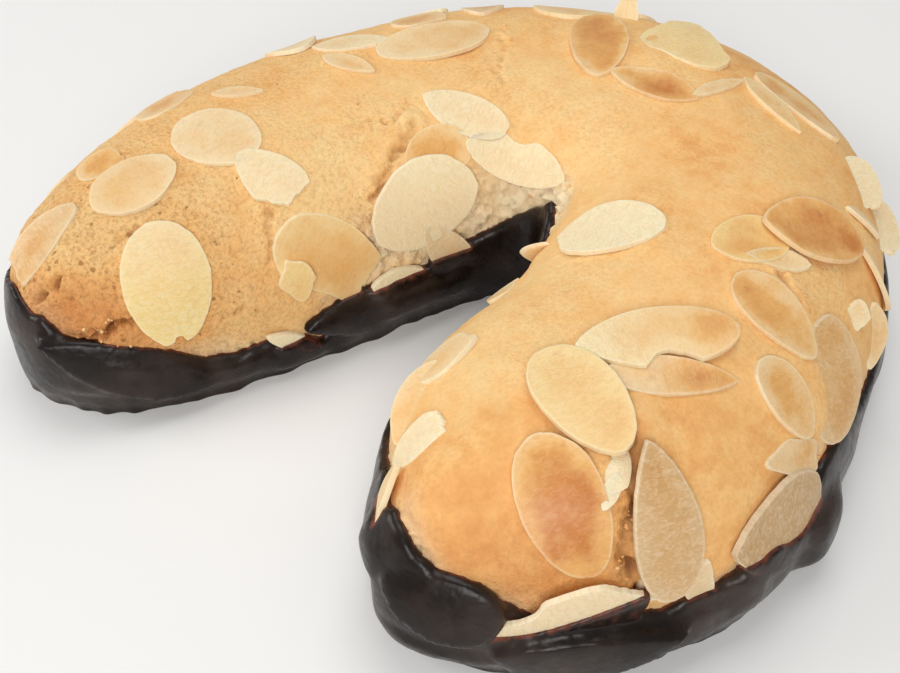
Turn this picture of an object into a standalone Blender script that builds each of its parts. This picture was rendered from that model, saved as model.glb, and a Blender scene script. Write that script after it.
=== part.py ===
"""An almond horn: a crescent of baked almond dough, almond flakes baked onto it, and its foot dipped in
dark chocolate. It lies on the flat underside of the chocolate, +Z up, with the middle of its footprint
at the origin. Lengths are written in millimetres and become metres where a mesh is made.

A place on the horn is (w, b): w runs once round the edge, 0 at the left tip, 10 at the right tip, the
outside of the bend between them and the inside on the way back to 20. b climbs the side in degrees: -90
at the surface the horn lies on, 0 at the shoulder and 90 on the ridge."""

import bmesh
import bpy
import numpy as np
from mathutils import Vector, noise
from mathutils.bvhtree import BVHTree

MM = 0.001

# The crescent seen from above: points of a smooth closed curve, from the left tip round the outside
# of the bend to the right tip, and from there back along the inside.
OUTSIDE = [(-39.6, -57.4), (-50.9, -47.1), (-58, -28.5), (-57.9, -2), (-38.8, 37.4), (2, 58),
           (39.4, 41), (56, 2.5), (57, -15.2), (49, -32.5), (31, -46.5)]
INSIDE = [(19.3, -39.6), (9.5, -27), (8.5, -9.5), (5.5, 2.5), (1, 8), (-6.5, 1.5),
          (-12, -18), (-18.9, -38.7), (-26.9, -52.4)]
LEFT_TIP, RIGHT_TIP, ROUND = 0.0, 10.0, 20.0
SHOULDER = 10.0  # height where the upright side turns into the dome
TIP_REACH = 1.9  # how far from a tip, in w, the ridge ends and the side fans round
RIDGE_AT = [1.9, 3.5, 5.0, 6.5, 8.1]
RIDGE_HEIGHT = [27.4, 29.7, 31.5, 31.0, 29.5]
FULLNESS = 2.35  # 2 would be an elliptical dome; more is fuller at the shoulder
NOTCH, NOTCH_FULLNESS, NOTCH_SPREAD = 15.2, 0.7, 1.8  # the side is steeper inside the bend

DOUGH_BOTTOM = 1.8
DOUGH_ROWS = [0, 9, 19, 30, 42, 54, 66, 78, 90]
COLUMNS_A_SIDE = 52
LUMP_HEIGHT, LUMP_SIZE = 0.55, 13.0

# Cracks in the dough: depth, half width, bank height, and the places it runs through.
CRACKS = [
    (1.6, 1.3, 0.5, [(7.75, 86), (8.08, 75), (8.47, 61), (8.74, 43), (8.84, 28), (8.75, 10)]),
    (0.8, 0.9, 0.2, [(16.76, 75), (16.58, 76), (16.36, 73)]),
    (0.9, 1.0, 0.2, [(16.43, 65), (16.53, 56), (16.62, 47)]),
    (0.8, 0.9, 0.2, [(17.42, 56), (17.45, 45), (17.45, 31)]),
    (1.1, 1.0, 0.2, [(19.11, 13), (18.83, 19), (18.58, 19)]),
    (1.0, 0.9, 0.2, [(19.75, 33), (19.55, 35), (19.37, 36)]),
]
CRACK_REACH = 3.2

# The chocolate coat.
GAP = 0.35  # between two meshes that touch
FLOOR = 1.4
COAT = 1.6
RIM_COAT = 0.6
FOOT_TUCK, FOOT_TUCK_HEIGHT = 1.3, 3.0  # the coat draws in towards the foot, up to this height
COAT_ROWS = [0.16, 0.36, 0.62, 0.86]
# Height of the coat's rim round the horn: w, height.
RIM = [(0, 18.5), (0.5, 16), (1.2, 12.5), (2.5, 10.5), (4, 11.5), (5.5, 11), (6.3, 11.5), (6.6, 12.5),
       (6.85, 15.5), (7.05, 16.2), (7.2, 14), (7.35, 11.5), (7.8, 14), (8.2, 11), (9.0, 10.8), (9.3, 12.5),
       (9.6, 15.5), (9.9, 18.8), (10.4, 20.5), (10.9, 18.5), (11.6, 12), (12.6, 10.5), (13.6, 12.5),
       (14.3, 18), (14.75, 21), (15.2, 17.8), (15.7, 15), (16.1, 12.4), (16.45, 9.8), (16.7, 10.5),
       (17.05, 7.6), (17.25, 3.6), (17.4, 4.2), (17.6, 6.8), (18.1, 7.2), (18.6, 10), (19.1, 13.2),
       (19.5, 16.5)]
# Where the coat is thicker or thinner than elsewhere: w, half length along w, height, half height, by
# how much. Most are flakes that the coat has run over.
LOBES = [
    (9.75, 0.32, 12.0, 4.6, 1.1), (10.42, 0.14, 5.0, 7.0, -0.9), (10.40, 0.20, 15.0, 2.5, 0.7),
    (10.75, 0.30, 11.0, 5.0, 0.4), (11.15, 0.25, 2.0, 3.0, 0.6), (8.80, 0.62, 6.5, 3.2, 1.0),
    (9.33, 0.13, 7.5, 2.8, 1.0), (7.95, 0.18, 9.0, 4.0, 0.9), (7.12, 0.17, 6.5, 5.0, 2.4),
    (6.52, 0.16, 5.0, 5.0, -0.9), (16.62, 0.24, 6.6, 2.4, 1.2), (16.28, 0.15, 6.0, 2.2, 0.8),
    (17.20, 0.07, 5.0, 3.0, -0.4), (17.42, 0.18, 3.2, 1.8, 1.0), (18.72, 0.62, 9.0, 3.4, 1.1),
    (18.10, 0.40, 4.5, 2.0, 0.5), (0.15, 0.50, 10.0, 8.0, -0.8), (3.00, 0.40, 6.0, 3.0, 0.4),
    (5.20, 0.30, 7.0, 3.0, 0.3), (12.30, 0.30, 6.0, 3.0, 0.6), (15.30, 0.40, 6.0, 4.0, 0.3),
    (9.80, 0.34, 3.6, 2.2, 0.8),
]
SCALLOP, SCALLOP_SIZE = 0.45, 6.0

# Almond flakes: w, b, turn from along w towards downhill, length, width, kind, lean, how many lie below.
FLAKE_THICK = 1.4
FLAKE_LIFT = 0.65
FLAKE_POINTS = 11
FLAKE_FOLLOW = 0.8  # share of the dough's curve that a flake follows
FLAKES = [
    (18.2, 34, 85, 17.5, 12, "whole", 0, 0), (18.1, 86, 9, 13.5, 9.6, "whole", 0, 0),
    (19.98, 52, -84, 13, 5.5, "broken", 12, 0), (1.4, 74, -25, 7, 5.5, "broken", 8, 0),
    (17.45, 88, -65, 14.4, 11.4, "whole", 0, 0), (17.3, 65, -68, 11, 8, "half", 0, 0),
    (17.1, 17, -49, 18.3, 11.3, "broken", 0, 0), (17.35, 17, -60, 6.4, 5, "chip", 0, 1),
    (16.45, 26, 16, 17.3, 12.6, "whole", 0, 1), (16.3, 48, 3, 10, 8, "whole", 0, 0),
    (16.1, 63, -39, 13.9, 7, "lens", 0, 0), (15.62, 36, -22, 15, 7, "lens", 6, 0),
    (16.3, 4, -64, 11, 6, "broken", 0, 0), (17.45, -34, -33, 9, 2.4, "sliver", 20, 1),
    (3.75, 84, 5, 18.3, 10, "whole", 0, 0), (3.4, 72, -27, 12.4, 5.5, "lens", 0, 0),
    (3.35, 85, -56, 9.8, 3.5, "lens", 0, 0), (3.7, 64, 11, 9, 6, "broken", 0, 0),
    (2.8, 78, -38, 8, 2.6, "lens", 0, 0), (2.4, 58, 13, 9.7, 6, "broken", 6, 0),
    (4.55, 86, -75, 18, 9.2, "whole", 0, 0), (4.75, 62, 40, 6, 3.5, "chip", 50, 0),
    (4.9, 72, -28, 17, 12, "broken", 6, 0), (14.95, 87, 14, 14.7, 6.2, "lens", 0, 0),
    (5.5, 71, 10, 14, 3.5, "lens", 0, 0), (5.5, 59, 22, 16.6, 6, "whole", 0, 0),
    (5.3, 84, -86, 9.8, 2.4, "sliver", 0, 0), (5.9, 42, 18, 9, 5.5, "broken", 30, 0),
    (6.0, 26, 21, 9, 6.5, "broken", 30, 0), (6.1, 41, -84, 8, 3, "sliver", 20, 0),
    (6.45, 81, -46, 11, 8.2, "whole", 0, 0), (6.3, 63, -69, 15.5, 10, "whole", 0, 1),
    (6.5, 71, -65, 9, 3.3, "lens", 0, 0), (6.75, 64, 76, 14, 8.2, "whole", 0, 0),
    (6.78, 33, -143, 17, 11.5, "whole", -8, 0), (7.05, 46, 79, 11.5, 6.7, "whole", 0, 0),
    (6.5, 35, 60, 4, 3, "chip", 30, 0), (6.25, 25, -86, 12.5, 6, "lens", 20, 0),
    (6.45, 18, 45, 9, 4.5, "lens", 25, 0), (7.25, 30, -28, 9.5, 5, "broken", 10, 0),
    (7.54, 12, -14, 16.9, 12.9, "whole", 3, 0), (7.25, 86, -41, 20.4, 9, "whole", 0, 1),
    (7.45, 77, -46, 16.4, 5.5, "lens", 0, 0), (8.05, 87, 77, 17, 10, "whole", 0, 1),
    (9.17, 51, -69, 17.5, 10.2, "whole", 0, 0), (8.53, 38, -93, 19.4, 8.2, "whole", 0, 0),
    (8.68, 61, 65, 6, 3, "chip", 12, 0), (9.15, 6, 25, 19.6, 11.5, "lens", -12, 0),
    (9.0, 6, 2, 8.3, 3, "sliver", -10, 0), (8.72, 12, 80, 5, 2.6, "chip", 0, 0),
    (8.4, 8, -79, 7, 4, "half", 0, 0), (10.98, 41, -72, 9, 4.9, "broken", 8, 0),
    (11.5, 38, -28, 12, 3.6, "sliver", 40, 0), (10.6, 24, -55, 9.5, 3.4, "sliver", -10, 1),
    (12.0, 46, -16, 9, 6.5, "broken", 0, 0), (13.5, 65, -73, 15.2, 10, "whole", 0, 0),
    (13.65, 24, 80, 7, 2.6, "sliver", 55, 0), (13.0, 26, 20, 6, 4, "chip", 15, 0),
    (8.82, 55, -124, 4.8, 2.1, "sliver", 0, 0), (16.67, 0, -10, 9.8, 4.4, "sliver", 15, 0),
]
# The sides that can't be seen in the picture carry flakes at the same density: from w to w, the highest
# b, how many.
FAR_SIDES = [(0.6, 4.9, 58, 9), (10.9, 13.4, 36, 4)]
FAR_LOWEST = 18
FAR_APART = 11.0
FAR_SEED = 11


# ---------------------------------------------------------------- the form
def closed_curve(knots, w):
    """Places w on the smooth closed curve (a periodic cubic spline) through the knots."""
    knots = np.asarray(knots, float)
    count = len(knots)
    system = 4 * np.eye(count) + np.roll(np.eye(count), 1, 0) + np.roll(np.eye(count), -1, 0)
    bend = np.linalg.solve(system, 6 * (np.roll(knots, -1, 0) - 2 * knots + np.roll(knots, 1, 0)))
    w = np.mod(np.atleast_1d(np.asarray(w, float)), count)
    here = np.floor(w).astype(int) % count
    after = (here + 1) % count
    far = (w - np.floor(w))[:, None]
    near = 1 - far
    straight = near * knots[here] + far * knots[after]
    return straight + ((near**3 - near) * bend[here] + (far**3 - far) * bend[after]) / 6


def edge(w, out=0.0):
    """The horn's edge seen from above, moved out by so many millimetres."""
    knots = OUTSIDE + INSIDE
    w = np.atleast_1d(np.asarray(w, float))
    step = 1e-3
    along = closed_curve(knots, w + step) - closed_curve(knots, w - step)
    along /= np.linalg.norm(along, axis=1)[:, None]
    outward = np.stack([-along[:, 1], along[:, 0]], 1)
    return closed_curve(knots, w) + outward * np.broadcast_to(out, w.shape)[:, None]


def ridge(w):
    """The point of the ridge, in plan, that the side at w climbs to, and its height."""
    w = np.mod(np.atleast_1d(np.asarray(w, float)), ROUND)
    t = np.where(w <= RIGHT_TIP, w, ROUND - w)
    t = np.clip(t, TIP_REACH, RIGHT_TIP - TIP_REACH)
    return (edge(t) + edge(ROUND - t)) / 2, np.interp(t, RIDGE_AT, RIDGE_HEIGHT)


def fullness(w):
    return FULLNESS + NOTCH_FULLNESS * np.exp(-(((np.mod(w, ROUND) - NOTCH) / NOTCH_SPREAD) ** 2))


def skin(w, b, out=0.0):
    """Points of the horn's surface at (w, b), or out millimetres outside it."""
    w = np.atleast_1d(np.asarray(w, float))
    b = np.broadcast_to(np.asarray(b, float), w.shape)
    out = np.broadcast_to(np.asarray(out, float), w.shape)
    top, height = ridge(w)
    power = 2 / fullness(w)
    climb = np.radians(np.clip(b, 0, 90))
    reach = np.cos(climb) ** power
    lift = np.sin(climb) ** power
    plan = top + (edge(w, out) - top) * reach[:, None]
    z = np.where(b < 0, SHOULDER * (1 + b / 90), SHOULDER + (height + out - SHOULDER) * lift)
    return np.column_stack([plan, z])


def climb_at(w, z):
    """The b at which the surface reaches height z."""
    w = np.atleast_1d(np.asarray(w, float))
    z = np.broadcast_to(np.asarray(z, float), w.shape)
    _, height = ridge(w)
    lift = np.clip((z - SHOULDER) / (height - SHOULDER), 0, 1)
    dome = np.degrees(np.arcsin(lift ** (fullness(w) / 2)))
    return np.where(z < SHOULDER, 90 * (z / SHOULDER - 1), dome)


def seat(w, b):
    """A place on the horn with its normal, the direction along w, and the direction downhill."""
    step_w, step_b = 0.02, 0.5
    along = (skin(w + step_w, b) - skin(w - step_w, b))[0]
    uphill = (skin(w, min(b + step_b, 89.9)) - skin(w, b - step_b))[0]
    normal = np.cross(uphill, along)
    normal /= np.linalg.norm(normal)
    along -= normal * (along @ normal)
    along /= np.linalg.norm(along)
    return skin(w, b)[0], normal, along, np.cross(normal, along)


def rim_height(w):
    at = [w for w, _ in RIM] + [ROUND]
    height = [z for _, z in RIM] + [RIM[0][1]]
    return np.interp(np.mod(w, ROUND), at, height)


def columns():
    """Places round the edge, the same on both sides of the ridge and closer together round the tips."""
    t = np.linspace(LEFT_TIP, RIGHT_TIP, 1001)
    middle = (t[1:] + t[:-1]) / 2
    length = np.linalg.norm(np.diff(edge(t), axis=0), axis=1)
    inner = np.linalg.norm(np.diff(edge(ROUND - t), axis=0), axis=1)
    tip = np.minimum(middle, RIGHT_TIP - middle)
    crowding = 1 + 0.9 * np.exp(-((tip / TIP_REACH) ** 2))
    share = np.concatenate([[0], np.cumsum((length + inner) / 2 * crowding)])
    one_side = np.interp(np.linspace(0, share[-1], COLUMNS_A_SIDE + 1), share, t)
    return np.concatenate([one_side, ROUND - one_side[-2:0:-1]])


# ---------------------------------------------------------------- meshes
def new_object(name, bm, colour, roughness):
    mesh = bpy.data.meshes.new(name)
    bm.to_mesh(mesh)
    bm.free()
    material = bpy.data.materials.new(name)
    material.use_nodes = True
    shader = material.node_tree.nodes["Principled BSDF"]
    shader.inputs["Base Color"].default_value = (*colour, 1)
    shader.inputs["Roughness"].default_value = roughness
    shader.inputs["Metallic"].default_value = 0
    mesh.materials.append(material)
    obj = bpy.data.objects.new(name, mesh)
    bpy.context.collection.objects.link(obj)
    return obj


def rings_to_bmesh(rings):
    """A closed shell through rings of points; the first and last ring are folded shut along a line."""
    bm = bmesh.new()
    grid = [[bm.verts.new(Vector(p) * MM) for p in ring] for ring in rings]
    count = len(grid[0])
    for lower, upper in zip(grid, grid[1:]):
        for i in range(count):
            j = (i + 1) % count
            bm.faces.new([lower[i], lower[j], upper[j], upper[i]])
    bmesh.ops.remove_doubles(bm, verts=bm.verts, dist=1e-6)
    bmesh.ops.recalc_face_normals(bm, faces=bm.faces)
    return bm


def distance_to_path(p, path):
    best = 1e9
    for start, end in zip(path, path[1:]):
        span = end - start
        share = np.clip((p - start) @ span / (span @ span), 0, 1)
        best = min(best, np.linalg.norm(p - start - span * share))
    return best


def crack_paths():
    return [(depth, half, bank, [skin(w, b)[0] for w, b in run]) for depth, half, bank, run in CRACKS]


def relief(p, w, paths):
    """How far the dough stands out at p: soft lumps, and cracks with raised banks. It fades to nothing
    at the coat's rim, so that the coat fits."""
    bare = np.clip((p[2] - rim_height(w) - 0.5) / 3, 0, 1)
    rise = LUMP_HEIGHT * noise.noise(Vector(p) / LUMP_SIZE)
    for depth, half, bank, path in paths:
        away = distance_to_path(p, path)
        rise += bank * np.exp(-(((away - 3 * half) / (2 * half)) ** 2))
        rise -= depth * np.exp(-((away / half) ** 2))
    return float(bare * rise)


def refine_near_cracks(bm, paths):
    """Splits the edges close to a crack, so that the crack has points to sink."""
    for reach in (CRACK_REACH * 1.6, CRACK_REACH):
        near = []
        for line in bm.edges:
            middle = np.array((line.verts[0].co + line.verts[1].co) / 2) / MM
            nearest = min(distance_to_path(middle, path) for *_, path in paths)
            if line.calc_length() > 2.2 * MM and nearest < reach:
                near.append(line)
        bmesh.ops.subdivide_edges(bm, edges=near, cuts=1, use_grid_fill=True)
        bmesh.ops.triangulate(bm, faces=bm.faces)


def plan_w(p):
    """The w whose edge lies nearest to a point seen from above."""
    return PLACES[np.argmin(np.linalg.norm(PLACES_EDGE - np.asarray(p)[:2], axis=1))]


PLACES = np.linspace(0, ROUND, 801)
PLACES_EDGE = edge(PLACES)


def dough_mesh():
    around = columns()
    base, _ = ridge(around)
    rings = [np.column_stack([base, np.full(len(around), DOUGH_BOTTOM)])]
    bottom = climb_at(around, DOUGH_BOTTOM)
    for share in (1.0, 0.5):
        rings.append(skin(around, bottom * share))
    rings += [skin(around, b) for b in DOUGH_ROWS]
    bm = rings_to_bmesh(rings)
    paths = crack_paths()
    refine_near_cracks(bm, paths)
    bm.normal_update()
    moved = []
    for vert in bm.verts:
        p = np.array(vert.co) / MM
        if p[2] > SHOULDER:
            moved.append((vert, vert.normal * relief(p, plan_w(p), paths) * MM))
    for vert, step in moved:
        vert.co += step
    return bm


# ---------------------------------------------------------------- flakes
def flake_outline(kind, length, width, count, rng):
    """Points round a flake lying flat: an almond sliced lengthwise, whole or broken."""
    angle = np.linspace(0, 2 * np.pi, count, endpoint=False) + 0.1
    x = np.cos(angle)
    y = np.sin(angle)
    if kind == "whole":
        y = y * (1 - 0.2 * x)
    elif kind in ("lens", "sliver"):
        y = np.sign(y) * np.abs(y) ** 1.35
    elif kind == "broken":
        y = y * (1 - 0.15 * x)
        x = np.minimum(x, 0.45 + 0.3 * rng.uniform(-1, 1, count)) * 1.25 + 0.15
    elif kind == "half":
        y = np.maximum(y, -0.35 + 0.2 * rng.uniform(-1, 1, count)) * 1.4 - 0.3
    elif kind == "chip":
        grow = 1 + 0.25 * rng.uniform(-1, 1, count)
        x, y = x * grow, y * grow
    return np.column_stack([x * length / 2, y * width / 2])


def add_flake(tree, place, rng, name):
    """One flake as a thin closed plate that follows the dough under it."""
    w, b, turn, length, width, kind, lean, below = place
    middle, normal, along, down = seat(w, b)
    turn = np.radians(turn)
    long_way = np.cos(turn) * along + np.sin(turn) * down
    cross_way = np.cross(normal, long_way)
    outline = flake_outline(kind, length, width, FLAKE_POINTS, rng)
    above = 12.0

    def rise(u, v):
        start = middle + long_way * u + cross_way * v + normal * above
        _, _, _, far = tree.ray_cast(Vector(start) * MM, Vector(-normal))
        depth = above - far / MM if far is not None else -2.5
        return FLAKE_FOLLOW * max(depth, -2.5)

    bm = bmesh.new()
    lift = FLAKE_LIFT + below * 0.9
    slope = np.tan(np.radians(lean))
    top, bottom = [], []
    for u, v in np.vstack([outline, [[0, 0]]]):
        height = rise(u, v) + lift + v * slope
        spot = middle + long_way * u + cross_way * v
        top.append(bm.verts.new(Vector(spot + normal * height) * MM))
        bottom.append(bm.verts.new(Vector(spot + normal * (height - FLAKE_THICK)) * MM))
    for i in range(FLAKE_POINTS):
        j = (i + 1) % FLAKE_POINTS
        bm.faces.new([top[i], top[j], top[-1]])
        bm.faces.new([bottom[j], bottom[i], bottom[-1]])
        bm.faces.new([top[j], top[i], bottom[i], bottom[j]])
    bmesh.ops.recalc_face_normals(bm, faces=bm.faces)
    return new_object(name, bm, DOUGH_COLOUR, 0.6)


def far_side_flakes(rng):
    """Flakes for the sides out of view, kept apart from each other and from the flakes already there."""
    taken = [skin(place[0], place[1])[0] for place in FLAKES]
    found = []
    for start, end, highest, wanted in FAR_SIDES:
        placed = 0
        for _ in range(400):
            if placed == wanted:
                break
            w = rng.uniform(start, end)
            b = rng.uniform(FAR_LOWEST, highest)
            turn = rng.uniform(-90, 90)
            length = rng.uniform(12, 17)
            width = length * rng.uniform(0.45, 0.62)
            kind = ("whole", "whole", "lens", "broken")[rng.randint(4)]
            spot = skin(w, b)[0]
            if min(np.linalg.norm(spot - other) for other in taken) < FAR_APART:
                continue
            taken.append(spot)
            found.append((w, b, turn, length, width, kind, 0, 0))
            placed += 1
    return found


# ---------------------------------------------------------------- chocolate
def coat_thickness(w, z, rim):
    """How far the coat's outside stands off the dough at (w, height z)."""
    share = z / rim
    thick = RIM_COAT + (COAT - RIM_COAT) * (1 - share**3)
    thick = thick - FOOT_TUCK * np.exp(-((z / FOOT_TUCK_HEIGHT) ** 2))
    for at, half_w, height, half_z, more in LOBES:
        off = np.mod(w - at + ROUND / 2, ROUND) - ROUND / 2
        here = np.exp(-((off / half_w) ** 4) - ((z - height) / half_z) ** 4)
        thick = thick + more * here
    return thick


def scallops(points):
    return np.array([SCALLOP * noise.noise(Vector(p) / SCALLOP_SIZE) for p in points])


def coat_rings(grow):
    """The coat from the middle of its underside, up its outside, over the rim and down its inside.
    grow makes both of its faces stand out further, for the tool that trims the flakes."""
    around = columns()
    base, _ = ridge(around)
    rim = rim_height(around) + grow
    rings = [np.column_stack([base, np.full(len(around), -grow)])]
    foot = coat_thickness(around, 0 * rim, rim) + scallops(skin(around, -90))
    rings.append(np.column_stack([edge(around, foot + GAP + grow), np.full(len(around), -grow)]))
    for share in COAT_ROWS:
        z = rim * share
        climb = climb_at(around, z)
        out = coat_thickness(around, z, rim) + scallops(skin(around, climb)) * (1 - share)
        rings.append(skin(around, climb, np.maximum(out, RIM_COAT) + GAP + grow))
    rings.append(skin(around, climb_at(around, rim), RIM_COAT + GAP + grow))
    rings.append(skin(around, climb_at(around, rim + 0.1), GAP - grow))
    for share in COAT_ROWS[::-2]:
        rings.append(skin(around, climb_at(around, rim * share), GAP - grow))
    rings.append(skin(around, climb_at(around, FLOOR), GAP - grow))
    rings.append(np.column_stack([base, np.full(len(around), FLOOR + grow)]))
    return rings


# ---------------------------------------------------------------- assembly
def largest_body(obj):
    """Drops loose scraps and the walls of sealed hollows."""
    bm = bmesh.new()
    bm.from_mesh(obj.data)
    unseen = set(bm.verts)
    bodies = []
    while unseen:
        body = [unseen.pop()]
        for vert in body:
            for line in vert.link_edges:
                other = line.other_vert(vert)
                if other in unseen:
                    unseen.remove(other)
                    body.append(other)
        bodies.append(body)
    keep = max(bodies, key=len)
    for body in bodies:
        if body is not keep:
            bmesh.ops.delete(bm, geom=body, context="VERTS")
    bmesh.ops.dissolve_degenerate(bm, dist=1e-6, edges=bm.edges)
    bmesh.ops.triangulate(bm, faces=bm.faces)
    bm.to_mesh(obj.data)
    bm.free()
    return len(bodies) - 1


def apply_boolean(obj, operation, collection=None, other=None):
    modifier = obj.modifiers.new(operation, "BOOLEAN")
    modifier.operation = operation
    if collection:
        modifier.operand_type = "COLLECTION"
        modifier.collection = collection
    else:
        modifier.object = other
    bpy.context.view_layer.update()
    evaluated = obj.evaluated_get(bpy.context.evaluated_depsgraph_get())
    mesh = bpy.data.meshes.new_from_object(evaluated)
    obj.modifiers.clear()
    obj.data = mesh


def add_chocolate():
    coat = new_object("chocolate", rings_to_bmesh(coat_rings(0)), CHOCOLATE_COLOUR, 0.35)
    coat.data.shade_smooth()
    return coat


def add_dough():
    rng = np.random.RandomState(FAR_SEED)
    dough = new_object("dough", dough_mesh(), DOUGH_COLOUR, 0.7)
    bm = bmesh.new()
    bm.from_mesh(dough.data)
    tree = BVHTree.FromBMesh(bm)
    bm.free()
    flakes = bpy.data.collections.new("flakes")
    bpy.context.scene.collection.children.link(flakes)
    for number, place in enumerate(FLAKES + far_side_flakes(rng)):
        flake = add_flake(tree, place, rng, f"flake_{number}")
        bpy.context.collection.objects.unlink(flake)
        flakes.objects.link(flake)
    apply_boolean(dough, "UNION", collection=flakes)
    for flake in list(flakes.objects):
        bpy.data.objects.remove(flake)
    bpy.data.collections.remove(flakes)
    trimmer = new_object("trimmer", rings_to_bmesh(coat_rings(GAP * 0.7)), CHOCOLATE_COLOUR, 0.35)
    apply_boolean(dough, "DIFFERENCE", other=trimmer)
    bpy.data.objects.remove(trimmer)
    scraps = largest_body(dough)
    dough.data.shade_smooth()
    dough.data.set_sharp_from_angle(angle=np.radians(35))
    return dough, scraps


DOUGH_COLOUR = (0.83, 0.55, 0.27)
CHOCOLATE_COLOUR = (0.035, 0.016, 0.014)

for old in list(bpy.data.objects):
    bpy.data.objects.remove(old)
add_chocolate()
horn, dropped = add_dough()
print("dough", len(horn.data.polygons), "faces,", dropped, "scraps dropped")
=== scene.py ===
# %% [markdown]
# # An almond horn
#
# An almond horn is a crescent of almond dough, rolled in sliced almonds, baked until its edges turn
# gold, and dipped in dark chocolate at the foot. This script dresses the plain solids of the horn with
# its three finishes: baked dough, sliced almonds and set chocolate. Each step says what the thing is on
# the real horn, how it could be made, and why this way was chosen.
#
# First the plain solids are loaded as a fixed frame.

# %% Load the frame
import functools
import math

import bmesh
import bpy
import numpy as np
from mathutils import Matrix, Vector, noise
from mathutils.bvhtree import BVHTree


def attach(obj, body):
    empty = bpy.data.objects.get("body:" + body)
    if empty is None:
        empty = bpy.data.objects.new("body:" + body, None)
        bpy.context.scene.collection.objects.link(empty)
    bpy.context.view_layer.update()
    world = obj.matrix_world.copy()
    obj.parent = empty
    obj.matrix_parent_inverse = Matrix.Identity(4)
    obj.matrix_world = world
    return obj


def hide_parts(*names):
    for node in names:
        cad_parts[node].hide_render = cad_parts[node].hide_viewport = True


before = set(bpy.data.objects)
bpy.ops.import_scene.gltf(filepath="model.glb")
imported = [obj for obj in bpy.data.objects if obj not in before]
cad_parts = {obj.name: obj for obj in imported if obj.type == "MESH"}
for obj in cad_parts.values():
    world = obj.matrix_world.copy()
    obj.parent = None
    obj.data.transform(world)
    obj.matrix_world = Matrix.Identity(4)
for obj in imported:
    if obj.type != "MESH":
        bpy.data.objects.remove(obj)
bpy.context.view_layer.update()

MM = 0.001
print("frame nodes:", sorted(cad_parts))

# %% [markdown]
# ## Where things are on the horn
#
# The crescent has no corners, so its outline from above is one smooth closed curve through a few points.
# A place on the horn is given as (w, b). w runs round that outline, 0 at the left tip and 10 at the right
# tip. b climbs the side in degrees, -90 at the table, 0 at the shoulder and 90 on the ridge. Everything
# that lies on the horn, from cracks to almonds, is placed with these two numbers. Lengths are millimetres.

# %% The outline and the ridge
OUTSIDE = [(-39.6, -57.4), (-50.9, -47.1), (-58, -28.5), (-57.9, -2), (-38.8, 37.4), (2, 58),
           (39.4, 41), (56, 2.5), (57, -15.2), (49, -32.5), (31, -46.5)]
INSIDE = [(19.3, -39.6), (9.5, -27), (8.5, -9.5), (5.5, 2.5), (1, 8), (-6.5, 1.5),
          (-12, -18), (-18.9, -38.7), (-26.9, -52.4)]
LEFT_TIP, RIGHT_TIP, ROUND = 0.0, 10.0, 20.0
SHOULDER = 10.0
TIP_REACH = 1.9
RIDGE_AT = [1.9, 3.5, 5.0, 6.5, 8.1]
RIDGE_HEIGHT = [27.4, 29.7, 31.5, 31.0, 29.5]
FULLNESS = 2.35
NOTCH, NOTCH_FULLNESS, NOTCH_SPREAD = 15.2, 0.7, 1.8
DOUGH_BOTTOM = 1.8


def closed_curve(knots, w):
    """Places w on the smooth closed curve (a periodic cubic spline) through the knots."""
    knots = np.asarray(knots, float)
    count = len(knots)
    system = 4 * np.eye(count) + np.roll(np.eye(count), 1, 0) + np.roll(np.eye(count), -1, 0)
    bend = np.linalg.solve(system, 6 * (np.roll(knots, -1, 0) - 2 * knots + np.roll(knots, 1, 0)))
    w = np.mod(np.atleast_1d(np.asarray(w, float)), count)
    here = np.floor(w).astype(int) % count
    after = (here + 1) % count
    far = (w - np.floor(w))[:, None]
    near = 1 - far
    straight = near * knots[here] + far * knots[after]
    return straight + ((near**3 - near) * bend[here] + (far**3 - far) * bend[after]) / 6


def edge(w, out=0.0):
    """The horn's edge seen from above, moved out by so many millimetres."""
    knots = OUTSIDE + INSIDE
    w = np.atleast_1d(np.asarray(w, float))
    step = 1e-3
    along = closed_curve(knots, w + step) - closed_curve(knots, w - step)
    along /= np.linalg.norm(along, axis=1)[:, None]
    outward = np.stack([-along[:, 1], along[:, 0]], 1)
    return closed_curve(knots, w) + outward * np.broadcast_to(out, w.shape)[:, None]


def ridge(w):
    """The point of the ridge, in plan, that the side at w climbs to, and its height."""
    w = np.mod(np.atleast_1d(np.asarray(w, float)), ROUND)
    t = np.where(w <= RIGHT_TIP, w, ROUND - w)
    t = np.clip(t, TIP_REACH, RIGHT_TIP - TIP_REACH)
    return (edge(t) + edge(ROUND - t)) / 2, np.interp(t, RIDGE_AT, RIDGE_HEIGHT)


print("footprint from above:", np.ptp(edge(np.linspace(0, ROUND, 400)), axis=0).round(1), "mm")


# %% The side, from the table to the ridge
def fullness(w):
    return FULLNESS + NOTCH_FULLNESS * np.exp(-(((np.mod(w, ROUND) - NOTCH) / NOTCH_SPREAD) ** 2))


def skin(w, b, out=0.0):
    """Points of the horn's surface at (w, b), or out millimetres outside it."""
    w = np.atleast_1d(np.asarray(w, float))
    b = np.broadcast_to(np.asarray(b, float), w.shape)
    out = np.broadcast_to(np.asarray(out, float), w.shape)
    top, height = ridge(w)
    power = 2 / fullness(w)
    climb = np.radians(np.clip(b, 0, 90))
    reach = np.cos(climb) ** power
    lift = np.sin(climb) ** power
    plan = top + (edge(w, out) - top) * reach[:, None]
    z = np.where(b < 0, SHOULDER * (1 + b / 90), SHOULDER + (height + out - SHOULDER) * lift)
    return np.column_stack([plan, z])


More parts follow.
